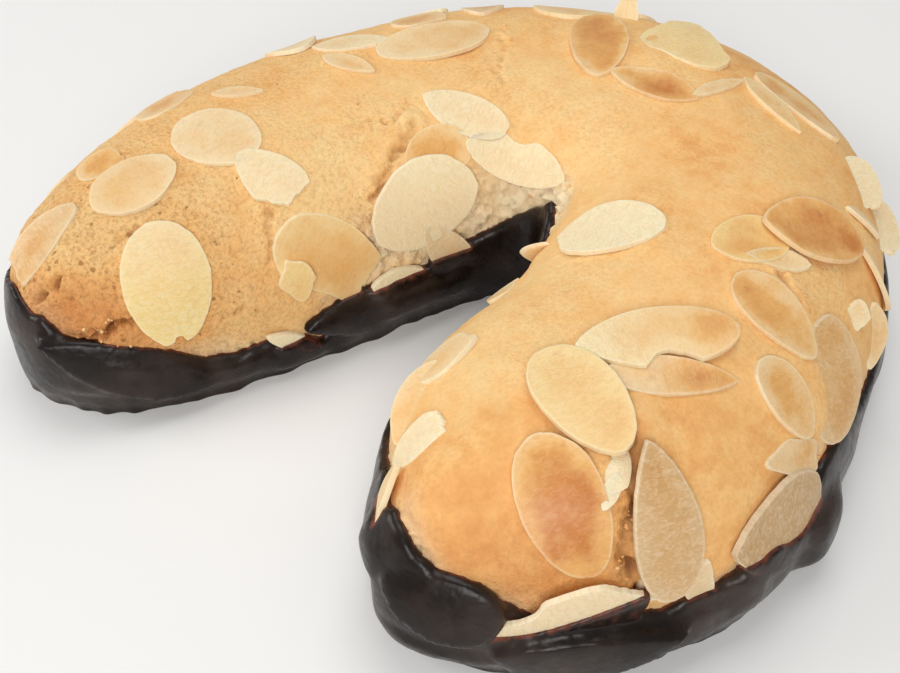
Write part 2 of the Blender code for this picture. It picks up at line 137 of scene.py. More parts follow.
def climb_at(w, z):
    """The b at which the surface reaches height z."""
    w = np.atleast_1d(np.asarray(w, float))
    z = np.broadcast_to(np.asarray(z, float), w.shape)
    _, height = ridge(w)
    lift = np.clip((z - SHOULDER) / (height - SHOULDER), 0, 1)
    dome = np.degrees(np.arcsin(lift ** (fullness(w) / 2)))
    return np.where(z < SHOULDER, 90 * (z / SHOULDER - 1), dome)


def seat(w, b):
    """A place on the horn with its normal, the direction along w, and the direction downhill."""
    step_w, step_b = 0.02, 0.5
    along = (skin(w + step_w, b) - skin(w - step_w, b))[0]
    uphill = (skin(w, min(b + step_b, 89.9)) - skin(w, b - step_b))[0]
    normal = np.cross(uphill, along)
    normal /= np.linalg.norm(normal)
    along -= normal * (along @ normal)
    along /= np.linalg.norm(along)
    return skin(w, b)[0], normal, along, np.cross(normal, along)


print("side at the bend:", skin(5.0, 0)[0].round(1), "to", skin(5.0, 90)[0].round(1))

# %% [markdown]
# ## The camera
#
# The picture looks down on the horn from 45 degrees, with the left tip to the left and the other tip
# towards the viewer. The camera stands that way. It is turned with a quaternion that points its -Z at
# the horn, which needs no Track To constraint. A small shift puts the horn where the picture has it.

# %% The camera
IMAGE_WIDTH, IMAGE_HEIGHT = 900, 673
SENSOR = 36.0
CAMERA_AZIMUTH, CAMERA_ELEVATION = 45.8, 45.5
CAMERA_DISTANCE = 191.4
CAMERA_TARGET = (-0.44, -3.0, 10.0)
FOCAL_PIXELS = 1290.5
PICTURE_CENTRE = (481.9, 285.1)  # the pixel that the camera points at


def add_camera():
    data = bpy.data.cameras.new("camera")
    data.sensor_width = SENSOR
    data.lens = FOCAL_PIXELS * SENSOR / IMAGE_WIDTH
    data.shift_x = (IMAGE_WIDTH / 2 - PICTURE_CENTRE[0]) / IMAGE_WIDTH
    data.shift_y = (PICTURE_CENTRE[1] - IMAGE_HEIGHT / 2) / IMAGE_WIDTH
    data.clip_start, data.clip_end = 0.01, 10
    camera = bpy.data.objects.new("camera", data)
    bpy.context.collection.objects.link(camera)
    turn, tilt = math.radians(CAMERA_AZIMUTH), math.radians(CAMERA_ELEVATION)
    back = Vector((math.sin(turn) * math.cos(tilt), -math.cos(turn) * math.cos(tilt), math.sin(tilt)))
    camera.location = (Vector(CAMERA_TARGET) + back * CAMERA_DISTANCE) * MM
    camera.rotation_mode = "QUATERNION"
    camera.rotation_quaternion = (-back).to_track_quat("-Z", "Y")
    bpy.context.scene.camera = camera
    return camera


camera = add_camera()
print("camera", round(camera.data.lens, 1), "mm lens")

# %% [markdown]
# ## Small helpers
#
# A material or a Geometry Nodes tree is a set of nodes with settings and links. One function adds a node
# of any kind. It takes the inputs in order, or by name, and where an input is another node, it links to
# the first output that the node has in use. Colours are given as sRGB hex values, and shaders
# work in linear light, so one function turns the one into the other.


# %% Helpers for nodes, colours and meshes
MATH, VECTOR, RANGE, MIX = "ShaderNodeMath", "ShaderNodeVectorMath", "ShaderNodeMapRange", "ShaderNodeMix"
NOISE, CELLS = "ShaderNodeTexNoise", "ShaderNodeTexVoronoi"


def plug(tree, node, inputs):
    """Gives each input of a node its value, or its link."""
    for name, value in (inputs if isinstance(inputs, dict) else dict(enumerate(inputs))).items():
        if isinstance(value, bpy.types.Node):
            value = next(output for output in value.outputs if output.enabled)
        if isinstance(value, bpy.types.NodeSocket):
            tree.links.new(value, node.inputs[name])
        else:
            node.inputs[name].default_value = value


def add_node(tree, kind, inputs=(), **settings):
    """Adds a node, with its settings, its values and what its inputs link to."""
    node = tree.nodes.new(kind)
    for name, value in settings.items():
        setattr(node, name, value)
    plug(tree, node, inputs)
    return node


def colour(hex_value):
    """Linear RGBA of an sRGB hex value."""
    parts = [int(hex_value[i:i + 2], 16) / 255 for i in (1, 3, 5)]
    return (*[p / 12.92 if p <= 0.04045 else ((p + 0.055) / 1.055) ** 2.4 for p in parts], 1)


def new_material(name):
    """A material with an empty tree, its Principled shader and its output."""
    material = bpy.data.materials.new(name)
    material.use_nodes = True
    tree = material.node_tree
    tree.nodes.clear()
    shader = add_node(tree, "ShaderNodeBsdfPrincipled")
    add_node(tree, "ShaderNodeOutputMaterial", {"Surface": shader.outputs["BSDF"]})
    return material, tree, shader


def add_object(name, mesh, material):
    """An object for a mesh, shaded smooth, in the scene."""
    mesh.shade_smooth()
    mesh.materials.append(material)
    obj = bpy.data.objects.new(name, mesh)
    bpy.context.collection.objects.link(obj)
    return obj


def new_piece(name, bm, material):
    """A bmesh in millimetres made into an object in metres."""
    bmesh.ops.scale(bm, vec=(MM, MM, MM), verts=bm.verts)
    mesh = bpy.data.meshes.new(name)
    bm.to_mesh(mesh)
    bm.free()
    return add_object(name, mesh, material)


print("helpers ready")

# %% [markdown]
# ## Floor and light
#
# The picture shows the horn on plain white under broad, soft light from above, and its chocolate has wide
# grey glints on every ledge that faces up or towards the viewer. Three large area lamps give that: one
# overhead, a little behind the horn, one over the viewer's head, and one to the viewer's left. A white
# world fills the shadows, and the floor is a plain pale sheet.


# %% Floor, lamps and world
FLOOR_SIZE = 6.0  # metres
LAMPS = [
    # name, place in millimetres, size in metres, watts
    ("lamp_above", (-90, 140, 620), 0.42, 1.22),
    ("lamp_front", (340, -390, 400), 0.36, 1.9),
    ("lamp_left", (-430, -390, 310), 0.34, 1.2),
]
WORLD_STRENGTH = 0.32


def add_floor():
    material, tree, shader = new_material("pale_matt_paper")
    plug(tree, shader, {"Base Color": colour("#F6F5F3"), "Roughness": 0.9})
    bm = bmesh.new()
    bmesh.ops.create_grid(bm, x_segments=1, y_segments=1, size=FLOOR_SIZE / 2 / MM)
    floor = new_piece("floor", bm, material)
    return floor


def add_lamp(name, place, size, watts):
    data = bpy.data.lights.new(name, "AREA")
    data.shape = "DISK"
    data.size = size
    data.energy = watts
    lamp = bpy.data.objects.new(name, data)
    bpy.context.collection.objects.link(lamp)
    lamp.location = Vector(place) * MM
    lamp.rotation_mode = "QUATERNION"
    lamp.rotation_quaternion = (-Vector(place)).to_track_quat("-Z", "Y")
    return lamp


def add_world():
    world = bpy.data.worlds.new("soft_white_room")
    world.use_nodes = True
    plug(world.node_tree, world.node_tree.nodes["Background"],
         {"Color": (1, 1, 1, 1), "Strength": WORLD_STRENGTH})
    bpy.context.scene.world = world


add_floor()
for lamp in LAMPS:
    add_lamp(*lamp)
add_world()
bpy.context.scene.view_settings.view_transform = "Standard"
print("floor,", len(LAMPS), "lamps and the world")


# %% [markdown]
# ## The rim of the chocolate
#
# Both the dough and the chocolate need to know how high the coat reaches: the dough is plain below it,
# and the chocolate ends there. The rim is uneven, highest at the tips and in the corner of the bend.

# %% Height of the rim
RIM = [(0, 18.5), (0.5, 16), (1.2, 12.5), (2.5, 10.5), (4, 11.5), (5.5, 11), (6.3, 11.5), (6.6, 12.5),
       (6.85, 15.5), (7.05, 16.2), (7.2, 14), (7.35, 11.5), (7.8, 14), (8.2, 11), (9.0, 10.8), (9.3, 12.5),
       (9.6, 15.5), (9.9, 18.8), (10.4, 20.5), (10.9, 18.5), (11.6, 12), (12.6, 10.5), (13.6, 12.5),
       (14.3, 18), (14.75, 21), (15.2, 17.8), (15.7, 15), (16.1, 12.4), (16.45, 9.8), (16.7, 10.5),
       (17.05, 7.6), (17.25, 3.6), (17.4, 4.2), (17.6, 6.8), (18.1, 7.2), (18.6, 10), (19.1, 13.2),
       (19.5, 16.5)]


def rim_height(w):
    at = [w for w, _ in RIM] + [ROUND]
    height = [z for _, z in RIM] + [RIM[0][1]]
    return np.interp(np.mod(w, ROUND), at, height)


BATCH = 4000  # points compared with the edge at a time, to save memory
PLACES = np.linspace(0, ROUND, 2001)
PLACES_EDGE = edge(PLACES)


def plan_w(points):
    """For each point, the w whose edge lies nearest to it seen from above."""
    found = np.empty(len(points))
    for start in range(0, len(points), BATCH):
        part = points[start:start + BATCH, None, :2] - PLACES_EDGE[None]
        found[start:start + BATCH] = PLACES[np.argmin((part**2).sum(2), axis=1)]
    return found


print("rim from", rim_height(PLACES).min(), "to", rim_height(PLACES).max(), "mm high")

# %% [markdown]
# ## The body of dough
#
# The dough is rolled by hand, so it is a smooth dome with soft lumps, and it splits in places as it
# rises. A grid laid over the dome would crowd its points at the tips. So the dome is made coarse, and a
# voxel Remesh turns it into an even net of squares half a millimetre wide. The squares near a crack are
# halved once more. Then each point moves along its normal: out for lumps and the banks of a crack, in for
# the crack. The underside is hidden in the chocolate, so it is closed with one flat face.

# %% The coarse shell
COARSE_COLUMNS = 180
COARSE_ROWS = 26
LOW_RINGS = (DOUGH_BOTTOM, 5.0, 8.0)  # heights of the rings between the underside and the shoulder
DOUGH_NET = 0.55


def shell(rings):
    """A closed shell through rings of points; the first and last ring are folded shut along a line."""
    bm = bmesh.new()
    grid = [[bm.verts.new(Vector(p)) for p in ring] for ring in rings]
    count = len(grid[0])
    for lower, upper in zip(grid, grid[1:]):
        for i in range(count):
            j = (i + 1) % count
            bm.faces.new([lower[i], lower[j], upper[j], upper[i]])
    bmesh.ops.remove_doubles(bm, verts=bm.verts, dist=1e-3)
    bmesh.ops.recalc_face_normals(bm, faces=bm.faces)
    return bm


def even_columns(count):
    """Places round the edge, the same on both sides of the ridge and evenly far apart."""
    t = np.linspace(LEFT_TIP, RIGHT_TIP, 1001)
    length = np.linalg.norm(np.diff(edge(t), axis=0), axis=1)
    inner = np.linalg.norm(np.diff(edge(ROUND - t), axis=0), axis=1)
    share = np.concatenate([[0], np.cumsum(length + inner)])
    one_side = np.interp(np.linspace(0, share[-1], count // 2 + 1), share, t)
    return np.concatenate([one_side, ROUND - one_side[-2:0:-1]])


def voxel_remesh(obj, size):
    """Turns a closed object into an even net of squares and applies it."""
    modifier = obj.modifiers.new("net", "REMESH")
    modifier.mode = "VOXEL"
    modifier.voxel_size = size * MM
    apply_modifiers(obj)


def apply_modifiers(obj):
    """Replaces an object's mesh by what its modifiers make of it."""
    bpy.context.view_layer.update()
    evaluated = obj.evaluated_get(bpy.context.evaluated_depsgraph_get())
    mesh = bpy.data.meshes.new_from_object(evaluated)
    mesh.name = obj.name
    obj.modifiers.clear()
    obj.data = mesh


def dough_shell():
    around = even_columns(COARSE_COLUMNS)
    base, _ = ridge(around)
    rings = [np.column_stack([base, np.full(len(around), DOUGH_BOTTOM)])]
    rings += [skin(around, climb_at(around, z)) for z in LOW_RINGS]
    rings += [skin(around, b) for b in np.linspace(0, 90, COARSE_ROWS)]
    return shell(rings)


print("coarse shell:", COARSE_COLUMNS, "points round it,", COARSE_ROWS, "rings up its side")


# %% Lumps and cracks
LUMPS = [(0.55, 13.0, 0), (0.22, 4.5, 2)]  # height, size and seed of the large and the small lumps
CRACKS = [
    # depth, half width, bank height, the places it runs through
    (1.6, 1.0, 0.5, [(7.75, 86), (8.08, 75), (8.47, 61), (8.74, 43), (8.84, 28), (8.75, 10)]),
    (0.5, 0.30, 0.1, [(16.74, 73), (16.64, 72), (16.55, 68), (16.47, 71), (16.39, 73)]),
    (0.8, 0.45, 0.4, [(16.42, 64), (16.47, 59), (16.55, 53), (16.63, 49), (16.7, 42), (16.77, 37)]),
    (0.7, 0.35, 0.1, [(17.36, 60), (17.38, 48), (17.44, 40), (17.45, 29)]),
    (1.9, 0.40, 0.3, [(19.26, 10), (19.12, 14), (19.02, 11), (18.93, 16), (18.83, 13), (18.76, 21),
                      (18.58, 19)]),
    (1.3, 0.40, 0.2, [(19.66, 26), (19.52, 31), (19.4, 36), (19.37, 41)]),
    (0.6, 0.30, 0.1, [(18.68, 58), (18.53, 64), (18.31, 65)]),
    (0.8, 0.32, 0.1, [(17.94, 13), (17.88, 10), (17.81, 9), (17.72, 10)]),
    (0.6, 0.30, 0.1, [(8.73, 73), (8.62, 70), (8.33, 73)]),
    (0.9, 0.40, 0.2, [(6.51, 71), (6.59, 65), (6.63, 60), (6.68, 55)]),
    (0.5, 0.30, 0.1, [(4.06, 84), (15.91, 90), (15.92, 85), (15.88, 77)]),
]
CRACK_WANDERS = [(0.8, 2.2), (0.35, 0.7)]  # how far a crack strays, and over what length
CRACK_REACH = 2.2  # the dough is crumbled, and its net finer, this close to a crack
CRACK_PATCH = 2.6  # a crack is deep and shallow by turns over this length
CRUMBLED, CRUMBLED_SIZE = 0.30, 0.9
CRACK_PATHS = [[skin(w, b)[0] for w, b in run] for *_, run in CRACKS]

print(len(CRACKS), "cracks, the deepest", max(depth for depth, *_ in CRACKS), "mm")


# %% How noise and the cracks move a point
def wavy(points, size, seed):
    """Smooth noise, -1 to 1, at each point."""
    offset = Vector((seed * 17.3, seed * 9.1, seed * 5.7))
    return np.array([noise.noise(Vector(p) / size + offset) for p in points])


def distance_to_path(points, path):
    """How far each point is from a line through the places of a path."""
    best = np.full(len(points), 1e9)
    for start, end in zip(path, path[1:]):
        span = end - start
        share = np.clip((points - start) @ span / max(span @ span, 1e-9), 0, 1)
        best = np.minimum(best, np.linalg.norm(points - start - share[:, None] * span, axis=1))
    return best


def distance_to_cracks(points):
    """How far each point is from the nearest crack."""
    return np.min([distance_to_path(points, path) for path in CRACK_PATHS], axis=0)


def stray(points):
    """The points moved about by noise, so that a straight path measured from them is a ragged one."""
    moved = points.copy()
    for reach, size in CRACK_WANDERS:
        moved += reach * np.column_stack([wavy(points, size, seed) for seed in (3, 4, 5)])
    return moved


def crack_relief(points):
    """How far the cracks and their banks move each point, and how much painted shade it gets in a crack, 0
    to 1.
    """
    rise, deep = np.zeros(len(points)), np.zeros(len(points))
    nearest = distance_to_cracks(points)
    close = np.where(nearest < 2.5 * CRACK_REACH)[0]
    here = points[close]
    bent = stray(here)
    patchy = np.clip(0.8 + 0.9 * wavy(here, CRACK_PATCH, 9), 0.15, 1.2)
    moved = CRUMBLED * wavy(here, CRUMBLED_SIZE, 8) * np.clip(1 - nearest[close] / CRACK_REACH, 0, 1)
    crack_shade = np.zeros(len(here))
    for (depth, half, bank, _), path in zip(CRACKS, CRACK_PATHS):
        away = distance_to_path(bent, path)
        cut = patchy / (1 + (away / half) ** 4)
        # painted shade for the crack, a little narrower than its cut
        painted_shade = patchy / (1 + (away / (0.75 * half)) ** 4)
        moved = moved + bank * np.exp(-(((away - 3 * half) / (2 * half)) ** 2)) - depth * cut
        crack_shade = np.maximum(crack_shade, painted_shade * min(0.6 * depth, 0.9))
    rise[close], deep[close] = moved, crack_shade
    return rise, deep


print("relief in the middle of the long crack:", crack_relief(skin(8.47, 61))[0].round(2), "mm")


# %% Work on the points of a mesh
def refine_near_cracks(obj):
    """Halves the net's squares close to a crack, so that the crack comes out narrow and sharp."""
    bm = bmesh.new()
    bm.from_mesh(obj.data)
    middles = np.array([face.calc_center_median() for face in bm.faces]) / MM
    away = distance_to_cracks(middles)
    lines = {line for face, far in zip(bm.faces[:], away) if far < CRACK_REACH for line in face.edges}
    bmesh.ops.subdivide_edges(bm, edges=list(lines), cuts=1, use_grid_fill=True)
    bmesh.ops.triangulate(bm, faces=[face for face in bm.faces if len(face.verts) > 4])
    bm.to_mesh(obj.data)
    bm.free()
    obj.data.shade_smooth()


def mesh_points(mesh):
    """A mesh's points and normals as arrays, the points in millimetres."""
    points = np.empty(len(mesh.vertices) * 3, np.float32)
    mesh.vertices.foreach_get("co", points)
    normals = np.empty(len(mesh.vertices) * 3, np.float32)
    mesh.vertices.foreach_get("normal", normals)
    return points.reshape(-1, 3).astype(float) / MM, normals.reshape(-1, 3).astype(float)


def move_points(mesh, points):
    mesh.vertices.foreach_set("co", (points * MM).astype(np.float32).ravel())
    mesh.update()


def store(mesh, name, values):
    """A number for each point of a mesh, for a material to read."""
    layer = mesh.attributes.new(name, "FLOAT", "POINT")
    layer.data.foreach_set("value", np.asarray(values, np.float32))


def surface_tree(*objects):
    """A tree for casting rays at the meshes of objects, in millimetres."""
    points, faces = [], []
    for obj in objects:
        start = len(points)
        points += mesh_points(obj.data)[0].tolist()
        faces += [tuple(start + i for i in face.vertices) for face in obj.data.polygons]
    return BVHTree.FromPolygons(points, faces)


print("squares are halved within", CRACK_REACH, "mm of a crack")


# %% [markdown]
# ### Pores and grain
#
# Baked dough is full of fine pores, and where it is torn or near the coat it crumbles into clods. These
# follow the surface everywhere, so they are the work of a Geometry Nodes tree: noise for the grain, one
# pattern of Voronoi cells for the pores and a coarser one for the clods, all moved along the normal. The
# tree also stores a painted shade for each point, so that the material can darken the pores and the gaps
# between clods as if shadowed. The same tree serves any surface, as its sizes are named inputs.

# %% The grain tree
GRAIN_SETTINGS = {
    "Grain height": 0.26 * MM,
    "Grain size": 1.5 * MM,
    "Pore depth": 0.45 * MM,
    "Pore spacing": 1.9 * MM,
    "Clod height": 0.9 * MM,
    "Clod size": 2.2 * MM,
    "Bend": 3.6 * MM,
    "Seed": 4.0,
}


def new_tree(name, inputs):
    """A Geometry Nodes tree with named number inputs, and its group input node."""
    tree = bpy.data.node_groups.new(name, "GeometryNodeTree")
    tree.interface.new_socket("Geometry", in_out="INPUT", socket_type="NodeSocketGeometry")
    tree.interface.new_socket("Geometry", in_out="OUTPUT", socket_type="NodeSocketGeometry")
    for label, value in inputs.items():
        kind = "NodeSocketInt" if isinstance(value, int) else "NodeSocketFloat"
        socket = tree.interface.new_socket(label, in_out="INPUT", socket_type=kind)
        socket.default_value = value
    return tree, add_node(tree, "NodeGroupInput")


def run_tree(obj, tree, inputs):
    """Puts a tree on an object, sets its inputs by their identifiers and applies it."""
    modifier = obj.modifiers.new(tree.name, "NODES")
    modifier.node_group = tree
    for item in tree.interface.items_tree:
        if item.in_out == "INPUT" and item.name in inputs:
            modifier[item.identifier] = inputs[item.name]
    apply_modifiers(obj)


def grain_tree():
    tree, given = new_tree("pores_and_grain", GRAIN_SETTINGS)
    node = functools.partial(add_node, tree)
    position, normal = node("GeometryNodeInputPosition"), node("GeometryNodeInputNormal")
    crumb, porous = [node("GeometryNodeInputNamedAttribute", {"Name": name}, data_type="FLOAT")
                     for name in ("crumb", "porous")]
    fine, spacing, clods = [node(MATH, [1.0, given.outputs[name]], operation="DIVIDE")
                            for name in ("Grain size", "Pore spacing", "Clod size")]
    seed = given.outputs["Seed"]
    # Grain: noise about the middle, stronger where the dough is porous or crumbly.
    grain = node(NOISE, {"Vector": position, "Scale": fine, "W": seed, "Detail": 4.0, "Roughness": 0.6},
                 noise_dimensions="4D")
    centred = node(MATH, [grain, 0.5], operation="SUBTRACT")
    rough = node(MATH, [crumb, 3.8, porous], operation="MULTIPLY_ADD")
    rougher = node(MATH, [rough, 2.2, 0.6], operation="MULTIPLY_ADD")
    height = node(MATH, [given.outputs["Grain height"], rougher], operation="MULTIPLY")
    rise = node(MATH, [centred, height], operation="MULTIPLY")
    # The cells below are bent by the same noise, so that none of them is regular.
    swing = node(VECTOR, {0: grain.outputs["Color"], "Scale": given.outputs["Bend"]}, operation="SCALE")
    bend = node(VECTOR, [swing, position], operation="ADD")
    holes, lumps, border = [
        node(CELLS, {"Vector": bend, "Scale": scale, "W": seed}, voronoi_dimensions="4D", feature=feature)
        for scale, feature in ((spacing, "F1"), (clods, "F1"), (clods, "DISTANCE_TO_EDGE"))]
    chance, sunk = [node("FunctionNodeSeparateColor", {"Color": cells.outputs["Color"]})
                    for cells in (holes, lumps)]
    # Pores: a hole in the middle of a cell, wider where its random number is below the porosity.
    luck = node(MATH, [porous, chance], operation="SUBTRACT")
    width = node(RANGE, [luck, 0.0, 0.5, 0.0, 0.22])
    inside = node(MATH, [width, holes], operation="SUBTRACT")
    pore = node(MATH, [inside, 9.0], operation="MULTIPLY", use_clamp=True)
    # Clods: each cell stands at a height of its own, with a narrow gap along its border.
    gap = node(RANGE, [border, 0.12, 0.0], interpolation_type="SMOOTHSTEP")
    gaps = node(MATH, [gap, crumb], operation="MULTIPLY")
    lower = node(MATH, [sunk, 0.6], operation="MULTIPLY")
    step = node(MATH, [lower, crumb, gaps], operation="MULTIPLY_ADD")
    # Painted shade: the gaps between clods and the pores are darkened, and stored as 'pore' for the
    # material.
    painted_shade = node(MATH, [gaps, 0.45], operation="MULTIPLY")
    dark = node(MATH, [painted_shade, pore], operation="MAXIMUM")
    sink = node(MATH, [pore, given.outputs["Pore depth"]], operation="MULTIPLY")
    down = node(MATH, [step, given.outputs["Clod height"], sink], operation="MULTIPLY_ADD")
    total = node(MATH, [rise, down], operation="SUBTRACT")
    offset = node(VECTOR, {0: normal, "Scale": total}, operation="SCALE")
    kept = node("GeometryNodeStoreNamedAttribute",
                {"Geometry": given.outputs["Geometry"], "Name": "pore", "Value": dark},
                data_type="FLOAT", domain="POINT")
    moved = node("GeometryNodeSetPosition", {"Geometry": kept, "Offset": offset})
    node("NodeGroupOutput", {"Geometry": moved})
    return tree


grain = grain_tree()
print("grain tree:", len(grain.nodes), "nodes")


# %% [markdown]
# ### Baked dough, the finish
#
# The dough is ground almonds, sugar and egg white, baked. To the eye it is matt and warm: pale where it
# is crumbly, golden on top and browner at the tips, which bake fastest. Light goes a little way into it,
# so its shadows are soft and orange. The large colour changes are numbers stored on the points, and the
# fine speckle comes from noise in the material.


# %% The dough's material
# The pit colour is the meal's brown speckle and also the painted shade in small pits; the deep colour is
# the painted shade in pores, clod gaps and cracks.
DOUGH_PALE, DOUGH_GOLD, DOUGH_BROWN = "#FAD495", "#F5BC74", "#DD9452"
DOUGH_CRUMB, DOUGH_SPECK_AND_PIT_SHADE, DOUGH_SHADE = "#FCE9C2", "#C27E40", "#86502A"


def baked_dough():
    material, tree, shader = new_material("baked_almond_dough")
    node = functools.partial(add_node, tree)
    place = node("ShaderNodeTexCoord").outputs["Object"]
    brown, crumb, pore, deep, porous = [
        node("ShaderNodeAttribute", attribute_name=name).outputs["Fac"]
        for name in ("brown", "crumb", "pore", "deep", "porous")]
    # Browning in faint clouds about 9 mm wide and mottling about 2 mm wide.
    tone = brown
    for size, swing, detail in ((9, 0.20, 2.0), (2.2, 0.18, 5.0)):
        cloud = node(NOISE, {"Vector": place, "Scale": 1 / (size * MM), "Detail": detail,
                             "Roughness": 0.62})
        drift = node(RANGE, [cloud, 0.25, 0.75, -swing, swing])
        tone = node(MATH, [tone, drift], operation="ADD")
    # Pits too small for the mesh, up to 0.6 mm wide: one for each cell of a 1.5 mm pattern, as wide as
    # the porosity is above the cell's random number.
    meal = node(NOISE, {"Vector": place, "Scale": 1 / (0.6 * MM), "Detail": 3.0, "Roughness": 0.65})
    bent = node(VECTOR, [meal.outputs["Color"], (0.7 * MM,) * 3, place], operation="MULTIPLY_ADD")
    cells = node(CELLS, {"Vector": bent, "Scale": 1 / (1.5 * MM)})
    chance = node("ShaderNodeSeparateColor", {"Color": cells.outputs["Color"]})
    more = node(MATH, [porous, 0.9, 0.06], operation="MULTIPLY_ADD")
    luck = node(MATH, [more, chance], operation="SUBTRACT")
    width = node(RANGE, [luck, 0.0, 0.8, 0.0, 0.24])
    inside = node(MATH, [width, cells], operation="SUBTRACT")
    pit = node(MATH, [inside, 12.0], operation="MULTIPLY", use_clamp=True)
    # Speckle from the almond meal: browner where the noise is low, lighter where it is high.
    amount = node(RANGE, [porous, 0.0, 1.0, 0.16, 1.2])
    centred = node(MATH, [meal, 0.5], operation="SUBTRACT")
    grit = node(MATH, [centred, amount], operation="MULTIPLY")
    gain = node(MATH, [grit, 0.4, 1.0], operation="MULTIPLY_ADD")
    # Painted shade in the pores, clod gaps and cracks, from the numbers stored on the points.
    pores = node(MATH, [pore, 0.6], operation="MULTIPLY")
    holes = node(MATH, [pores, deep], operation="MAXIMUM")
    # Each colour lies over the ones before it by its own share, 0 to 1. The speckle's light side comes in
    # between, before the painted shade in the pits and in the pores, clod gaps and cracks.
    layers = [
        (node(RANGE, [tone, 0.0, 0.6]), DOUGH_GOLD),
        (node(RANGE, [tone, 0.5, 1.1]), DOUGH_BROWN),
        (crumb, DOUGH_CRUMB),
        (node(RANGE, [grit, 0.02, -0.35, 0.0, 0.8]), DOUGH_SPECK_AND_PIT_SHADE),
        (gain, None),
        # painted shade in the small pits
        (node(MATH, [pit, 0.75], operation="MULTIPLY"), DOUGH_SPECK_AND_PIT_SHADE),
        (node(MATH, [holes, 0.85], operation="MULTIPLY"), DOUGH_SHADE),
    ]
    body = colour(DOUGH_PALE)
    for share, over in layers:
        if over:
            body = node(MIX, {0: share, 6: body, 7: colour(over)}, data_type="RGBA")
        else:
            body = node(VECTOR, {0: body, "Scale": share}, operation="SCALE")
    sunk = node(MATH, [pit, -1.0], operation="MULTIPLY")
    relief = node(MATH, [grit, 2.0, sunk], operation="MULTIPLY_ADD")
    bump = node("ShaderNodeBump", {"Height": relief, "Strength": 1.0, "Distance": 0.26 * MM})
    plug(tree, shader, {"Base Color": body, "Normal": bump, "Roughness": 0.65, "IOR": 1.4,
                        "Subsurface Weight": 0.15, "Subsurface Radius": (1.0, 0.45, 0.2),
                        "Subsurface Scale": 1.0 * MM})
    return material


dough_finish = baked_dough()
print("material", dough_finish.name)


# %% [markdown]
# Now the pieces come together: shell, even net, lumps and cracks, colour numbers, and the grain tree.

# %% Make the dough
DOUGH_CUT = 2.4  # height of the flat underside, inside the chocolate
BROWN_SPOTS = [
    # w, b, half size in mm, how much browner (or paler) than the rest
    (19.45, 14, 10, 0.70), (18.9, 12, 9, 0.25), (18.3, 10, 9, 0.22), (0.6, 60, 18, 0.05),
    (9.3, 20, 14, 0.22), (9.95, 28, 9, 0.35), (9.4, 42, 8, 0.12), (8.8, 50, 18, 0.10),
    (7.4, 40, 14, 0.14), (19.2, 52, 8, -0.35), (16.3, 60, 12, -0.15), (17.0, 46, 10, -0.20),
    (17.2, 70, 12, -0.10), (15.0, 60, 14, -0.10), (14.7, 46, 9, -0.15), (12.9, 83, 9, -0.10),
    (14.2, 70, 12, 0.15), (12.2, 58, 9, -0.35), (13.4, 30, 12, -0.25), (6.0, 30, 12, 0.10),
    (9.6, 60, 10, 0.05), (5.2, 50, 14, 0.12),
]
LEAST_BROWN = 0.38
POROUS_SPOTS = [
    # w, b, half size in mm, how porous, on top of the least
    (19.2, 25, 22, 0.75), (18.0, 30, 16, 0.35), (16.9, 50, 14, 0.20), (9.2, 10, 10, 0.30),
    (8.7, 50, 6, 0.35), (6.6, 60, 10, 0.30), (0.6, 40, 20, 0.40), (3.0, 40, 24, 0.25),
]
LEAST_POROUS = 0.10
BARE_FROM, BARE_OVER = 0.5, 3  # lumps and cracks start this far above the rim, and grow over this height
STEEP, STEEP_OVER = 0.70, 0.35  # the normal's z under which a wall may crumble, and how soon it does
TORN_WALL = (13.9, 17.3)  # from w to w, the inner side of the left arm, which is torn and crumbly
CRUMBLY_RIM = 4.5  # the dough crumbles in places up to this far above the rim


def cut_off(obj, point, outward):
    """Cuts away what is outside a plane, in metres, and closes the cut with one flat face."""
    bm = bmesh.new()
    bm.from_mesh(obj.data)
    everything = bm.verts[:] + bm.edges[:] + bm.faces[:]
    cut = bmesh.ops.bisect_plane(bm, geom=everything, plane_co=point, plane_no=outward, clear_outer=True)
    rim = [item for item in cut["geom_cut"] if isinstance(item, bmesh.types.BMEdge)]
    bmesh.ops.contextual_create(bm, geom=rim)
    bmesh.ops.recalc_face_normals(bm, faces=bm.faces)
    bm.to_mesh(obj.data)
    bm.free()
    obj.data.shade_smooth()


def spots_at(points, spots, least):
    """Adds up soft round spots on top of a least value."""
    total = np.full(len(points), least)
    for w, b, half, more in spots:
        away = np.linalg.norm(points - skin(w, b)[0], axis=1)
        total += more * np.exp(-((away / half) ** 2))
    return total


